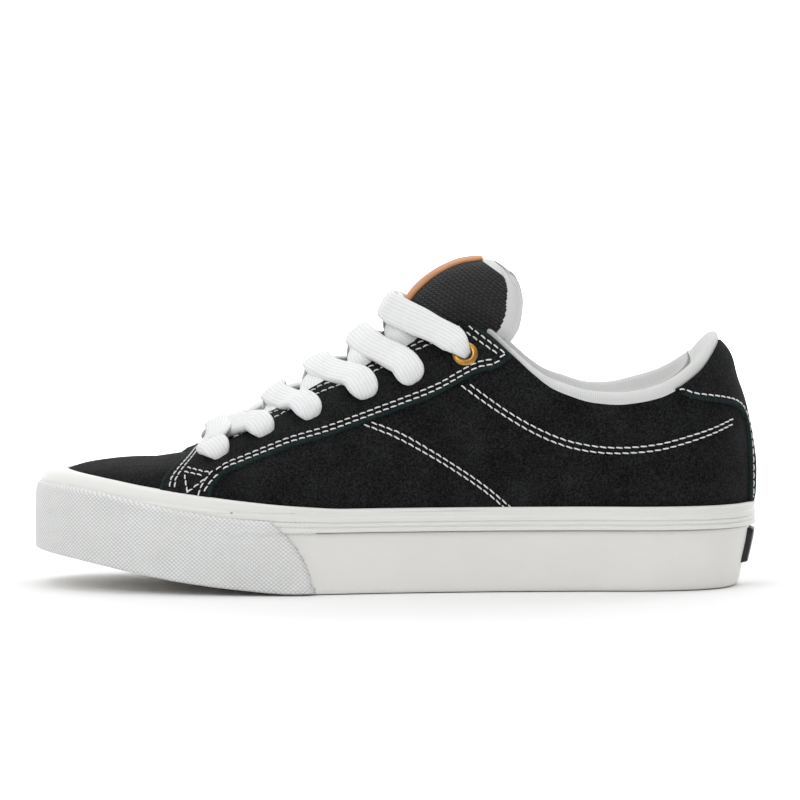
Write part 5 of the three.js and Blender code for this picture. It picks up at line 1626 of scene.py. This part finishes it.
def wall_height(rise, x=sole_x):
    foot = ground_at(x) + CLEARANCE
    return foot + (rim_at(x) - foot) * rise


def ring_piece(name, rows, materials, replaces, closed=False):
    rows = np.array(rows)
    count = rows.shape[1]
    quads = grid_faces(len(rows), count, True)
    if closed:
        quads = np.concatenate([quads, close_ring(len(rows), count)])
    make_piece(name, rows.reshape(-1, 3), quads, materials, replaces, None, flat_places(around, rows))


def make_midsole():
    foot = ground_at(sole_x) + CLEARANCE
    rim = rim_at(sole_x)
    bed = bed_at(sole_x)
    cup = -UPPER_WALL - 1.5
    recess = wall_out(0.0) - OUTSOLE_INSET
    tread = ground_at(sole_x) + OUTSOLE_THICKNESS + CLEARANCE
    rows = [centre_row(tread), ring_row(tread, recess), ring_row(foot + 0.2, recess),
            ring_row(foot, recess + 0.3), ring_row(foot, wall_out(0.0) - 1.0),
            ring_row(foot + 0.12, wall_out(0.0) - 0.4)]
    for rise in np.linspace(0.02, 0.97, 22):
        rows.append(ring_row(wall_height(rise), wall_out(rise)))
    rows += [ring_row(rim - 0.15, wall_out(1.0) - 0.25), ring_row(rim, wall_out(1.0) - 0.7),
             ring_row(rim, cup), ring_row(bed + 3, cup), ring_row(bed, cup - 3), centre_row(bed)]
    ring_piece("midsole_rubber", rows, [WALL], ["midsole"])


def make_foxing():
    rise_line = np.unique(np.concatenate([np.linspace(0, 1, 34), RIBS["rise"]]))
    proud = smooth_curve(RIBS["rise"], RIBS["proud"])(rise_line)
    low, high = rim_at(sole_x) + CLEARANCE, foxing_top_at(sole_x)
    rows = []
    tip = np.clip((-112 - sole_x) / 30, 0, 1) ** 1.5
    for rise, share in zip(rise_line, proud):
        wave_ = 0.12 * np.sin(around / 23) * (rise > 0.9)
        out = CLEARANCE + FOXING_THICKNESS * share + TOE_SWELL * tip * np.clip((rise - 0.4) / 0.4, 0, 1)
        rows.append(outside(ring, low + (high - low) * rise + wave_, out))
    rows.append(outside(ring, high + 0.15, np.full(len(sole_x), 0.7)))
    rows.append(outside(ring, high - 0.2, np.full(len(sole_x), 0.1)))
    rows.append(outside(ring, low + 0.1, np.full(len(sole_x), 0.1)))
    ring_piece("foxing_rubber", rows, [STRIP], ["foxing"], closed=True)


def rounded(gap):
    """Share of full thickness at a distance from an edge, in radii of its rounded rim"""
    return np.sqrt(np.clip(1 - np.clip(1 - gap, 0, 1) ** 2, 0, 1))


def bumper_rear_at(z):
    """Place along the shoe of the bumper's rear edge at a height"""
    heights = np.array(BUMPER_REAR["height"]) * BUMPER_HEIGHT
    return np.interp(-z, -heights, to_x(BUMPER_REAR["along"]))


def make_bumper():
    """The toe bumper: rows up the wall that end along the curved rear edge, with rounded rims"""
    rises = np.linspace(0, 1, 40)
    back = to_x(BUMPER_REAR["along"][-1]) + 1
    picked = np.nonzero(sole_x < back)[0]
    inner_first = picked[picked > len(sole_x) // 2]
    order = np.concatenate([inner_first, picked[picked <= len(sole_x) // 2]])
    spokes = ring.take(order)
    x = spokes.base[:, 0]
    low = ground_at(x) + 3 * CLEARANCE
    high = bumper_top_at(x)
    foot, rim = ground_at(x) + CLEARANCE, rim_at(x)
    rows = []
    reach = distances(spokes.base)
    for rise in rises:
        z = low + (high - low) * rise
        share = (z - foot) / (rim - foot)
        wall = wall_out(np.clip(share, 0, 1), x)
        backing = np.where(share < 1, np.maximum(0, wall), FOXING_OUT)
        end_gap = bumper_rear_at(z) - x
        edge = np.minimum.reduce([end_gap, (1 - rise) * (high - low), rise * (high - low) + 0.6])
        proud = 2 * CLEARANCE + BUMPER_THICKNESS * rounded(edge / BUMPER_RIM)
        rows.append(outside(spokes, z, backing + np.where(end_gap > 0, proud, -0.6)))
    rows = np.array(rows)
    count = rows.shape[1]
    back_rows = []
    for rise in rises[::-1]:
        z = low + (high - low) * rise
        back_rows.append(outside(spokes, z, np.full(len(x), -0.8)))
    whole = np.concatenate([rows, np.array(back_rows)])
    quads = np.concatenate([grid_faces(len(whole), count), close_ring(len(whole), count)[:-1]])
    heights = whole[..., 2]
    flat = np.stack([np.broadcast_to(reach[None], heights.shape), heights], axis=-1).reshape(-1, 2)
    quads = quads.tolist() + side_caps(len(whole), count)
    make_piece("toe_bumper_rubber", whole.reshape(-1, 3), quads, [BUMPER], ["toe_bumper"],
               None, flat)


def make_insole():
    x = sole_x
    foot = bed_at(x) + CLEARANCE
    edge = -UPPER_WALL - 4.5 - 3 * CLEARANCE
    top = foot + INSOLE_THICKNESS
    rim = [(foot, 0), (foot + INSOLE_THICKNESS * 0.5, 1.4), (foot + INSOLE_THICKNESS * 0.8 + 1, 2.4),
           (top + 1, 1.8),
           (top + 0.7, -0.5), (top + 0.25, -4), (top, -8), (top, -14)]
    rows = [centre_row(foot), *(ring_row(height, edge + out) for height, out in rim), centre_row(top)]
    ring_piece("insole_cloth", rows, [SOCK_CLOTH], ["insole"])


def make_heel_label():
    """The small blank black plate on the heel wall, with rounded corners and rims"""
    span = RIM_HEIGHT - CLEARANCE
    low, high = (LABEL_TOP - LABEL_HEIGHT - CLEARANCE) / span, (LABEL_TOP - CLEARANCE) / span
    turns = np.radians(np.linspace(-LABEL_TURN, LABEL_TURN, 49))
    spokes = fan(HEEL_CENTRE, turns)
    x = spokes.base[:, 0]
    arc = np.linspace(-1, 1, 49) * LABEL_HALF_WIDTH
    rows = []
    rises = np.linspace(low, high, 33)
    for rise in rises:
        wall = wall_out(rise, x)
        far = min(rise - low, high - rise) * span
        side_gap = LABEL_HALF_WIDTH - np.abs(arc)
        gap = np.minimum(side_gap, far)
        both = np.clip(LABEL_CORNER - side_gap, 0, None) ** 2 + max(0.0, LABEL_CORNER - far) ** 2
        gap = np.where((side_gap < LABEL_CORNER) & (far < LABEL_CORNER), LABEL_CORNER - np.sqrt(both), gap)
        proud = np.where(gap < 0, -0.2, LABEL_THICKNESS * rounded(gap / LABEL_RIM))
        plan = spokes.base + spokes.normal * (wall + CLEARANCE + proud)[:, None]
        rows.append(np.concatenate([plan, wall_height(rise, x)[:, None]], axis=1))
    backs = []
    for rise in rises[::-1]:
        plan = spokes.base + spokes.normal * (wall_out(rise, x) - 0.5)[:, None]
        backs.append(np.concatenate([plan, wall_height(rise, x)[:, None]], axis=1))
    whole = np.array(rows + backs)
    count = whole.shape[1]
    quads = np.concatenate([grid_faces(len(whole), count), close_ring(len(whole), count)[:-1]]).tolist()
    quads += side_caps(len(whole), count)
    make_piece("heel_label_rubber", whole.reshape(-1, 3), quads, [BLACK_RUBBER],
               ["heel_label"])


make_midsole()
make_foxing()
make_bumper()
make_insole()
make_heel_label()

tread_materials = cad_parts["outsole"].data.materials
tread_materials.clear()
tread_materials.append(TREAD)


# Floor, light and camera

def floor_finish():
    """Plain pale paper that glows as painted light, more so behind the shoe where it is far from it"""
    m = Nodes("floor_pale", (0.93, 0.93, 0.93), 0.85)
    split = m.add("ShaderNodeSeparateXYZ")
    m.link(m.place(), split.inputs[0])
    # Emission that grows with distance behind the shoe: a painted glow on the floor and backdrop
    glow = m.stretch(split.outputs[1], 1.2, -0.25)
    m.shader.inputs["Emission Color"].default_value = (1, 1, 1, 1)
    m.link(glow, m.shader.inputs["Emission Strength"])
    return m.material


def make_floor():
    """A pale floor that sweeps up into a backdrop"""
    bend, back, width = 0.8, 3.2, 5.0
    line = [(-4.0, 0.0), (back, 0.0)]
    turns = np.linspace(0, math.pi / 2, 24)[1:]
    line += [(back + bend * math.sin(a), bend * (1 - math.cos(a))) for a in turns]
    line.append((back + bend, 4.0))
    points = [(x, y, z) for y, z in line for x in (-width, width)]
    mesh = bpy.data.meshes.new("floor")
    mesh.from_pydata(points, [], grid_faces(len(line), 2).tolist())
    mesh.polygons.foreach_set("use_smooth", np.ones(len(mesh.polygons), dtype=bool))
    floor = bpy.data.objects.new("floor", mesh)
    bpy.context.scene.collection.objects.link(floor)
    mesh.materials.append(floor_finish())


def add_area(name, place, aim, size, power):
    light = bpy.data.lights.new(name, "AREA")
    light.shape = "RECTANGLE"
    light.size, light.size_y = size
    light.energy = power
    lamp = bpy.data.objects.new(name, light)
    lamp.location = place
    lamp.rotation_euler = (Vector(aim) - Vector(place)).to_track_quat("-Z", "Y").to_euler()
    bpy.context.scene.collection.objects.link(lamp)


def make_lights():
    world = bpy.data.worlds.new("studio")
    world.use_nodes = True
    world.node_tree.nodes["Background"].inputs["Color"].default_value = (1, 1, 1, 1)
    world.node_tree.nodes["Background"].inputs["Strength"].default_value = 0.5
    bpy.context.scene.world = world
    add_area("key", (-0.6, -1.3, 1.2), (0, 0, 0.05), (0.7, 0.7), 7.5)
    add_area("top", (0.0, 0.1, 1.6), (0, 0, 0.05), (1.6, 1.6), 13)
    add_area("rim", (1.0, 0.9, 0.8), (0.05, 0, 0.06), (0.6, 0.6), 2.5)


# The photograph's view: scale, picture centre on the shoe's middle plane, and the camera's height angle
PIXELS_PER_MM = 2.43
CENTRE_X, CENTRE_Z = 2.1, 76.0
ELEVATION = math.radians(3.75)
DISTANCE = 2.3
PICTURE = 800


def make_camera():
    data = bpy.data.cameras.new("camera")
    data.sensor_width = 36
    data.lens = 36 * DISTANCE / (PICTURE / PIXELS_PER_MM * MM)
    data.clip_end = 50
    camera = bpy.data.objects.new("camera", data)
    target = Vector((CENTRE_X * MM, 0, CENTRE_Z * MM))
    camera.location = target + DISTANCE * Vector((0, -math.cos(ELEVATION), math.sin(ELEVATION)))
    camera.rotation_euler = (math.pi / 2 - ELEVATION, 0, 0)
    bpy.context.scene.collection.objects.link(camera)
    bpy.context.scene.camera = camera


make_floor()
make_lights()
make_camera()
bpy.context.scene.view_settings.view_transform = "Standard"
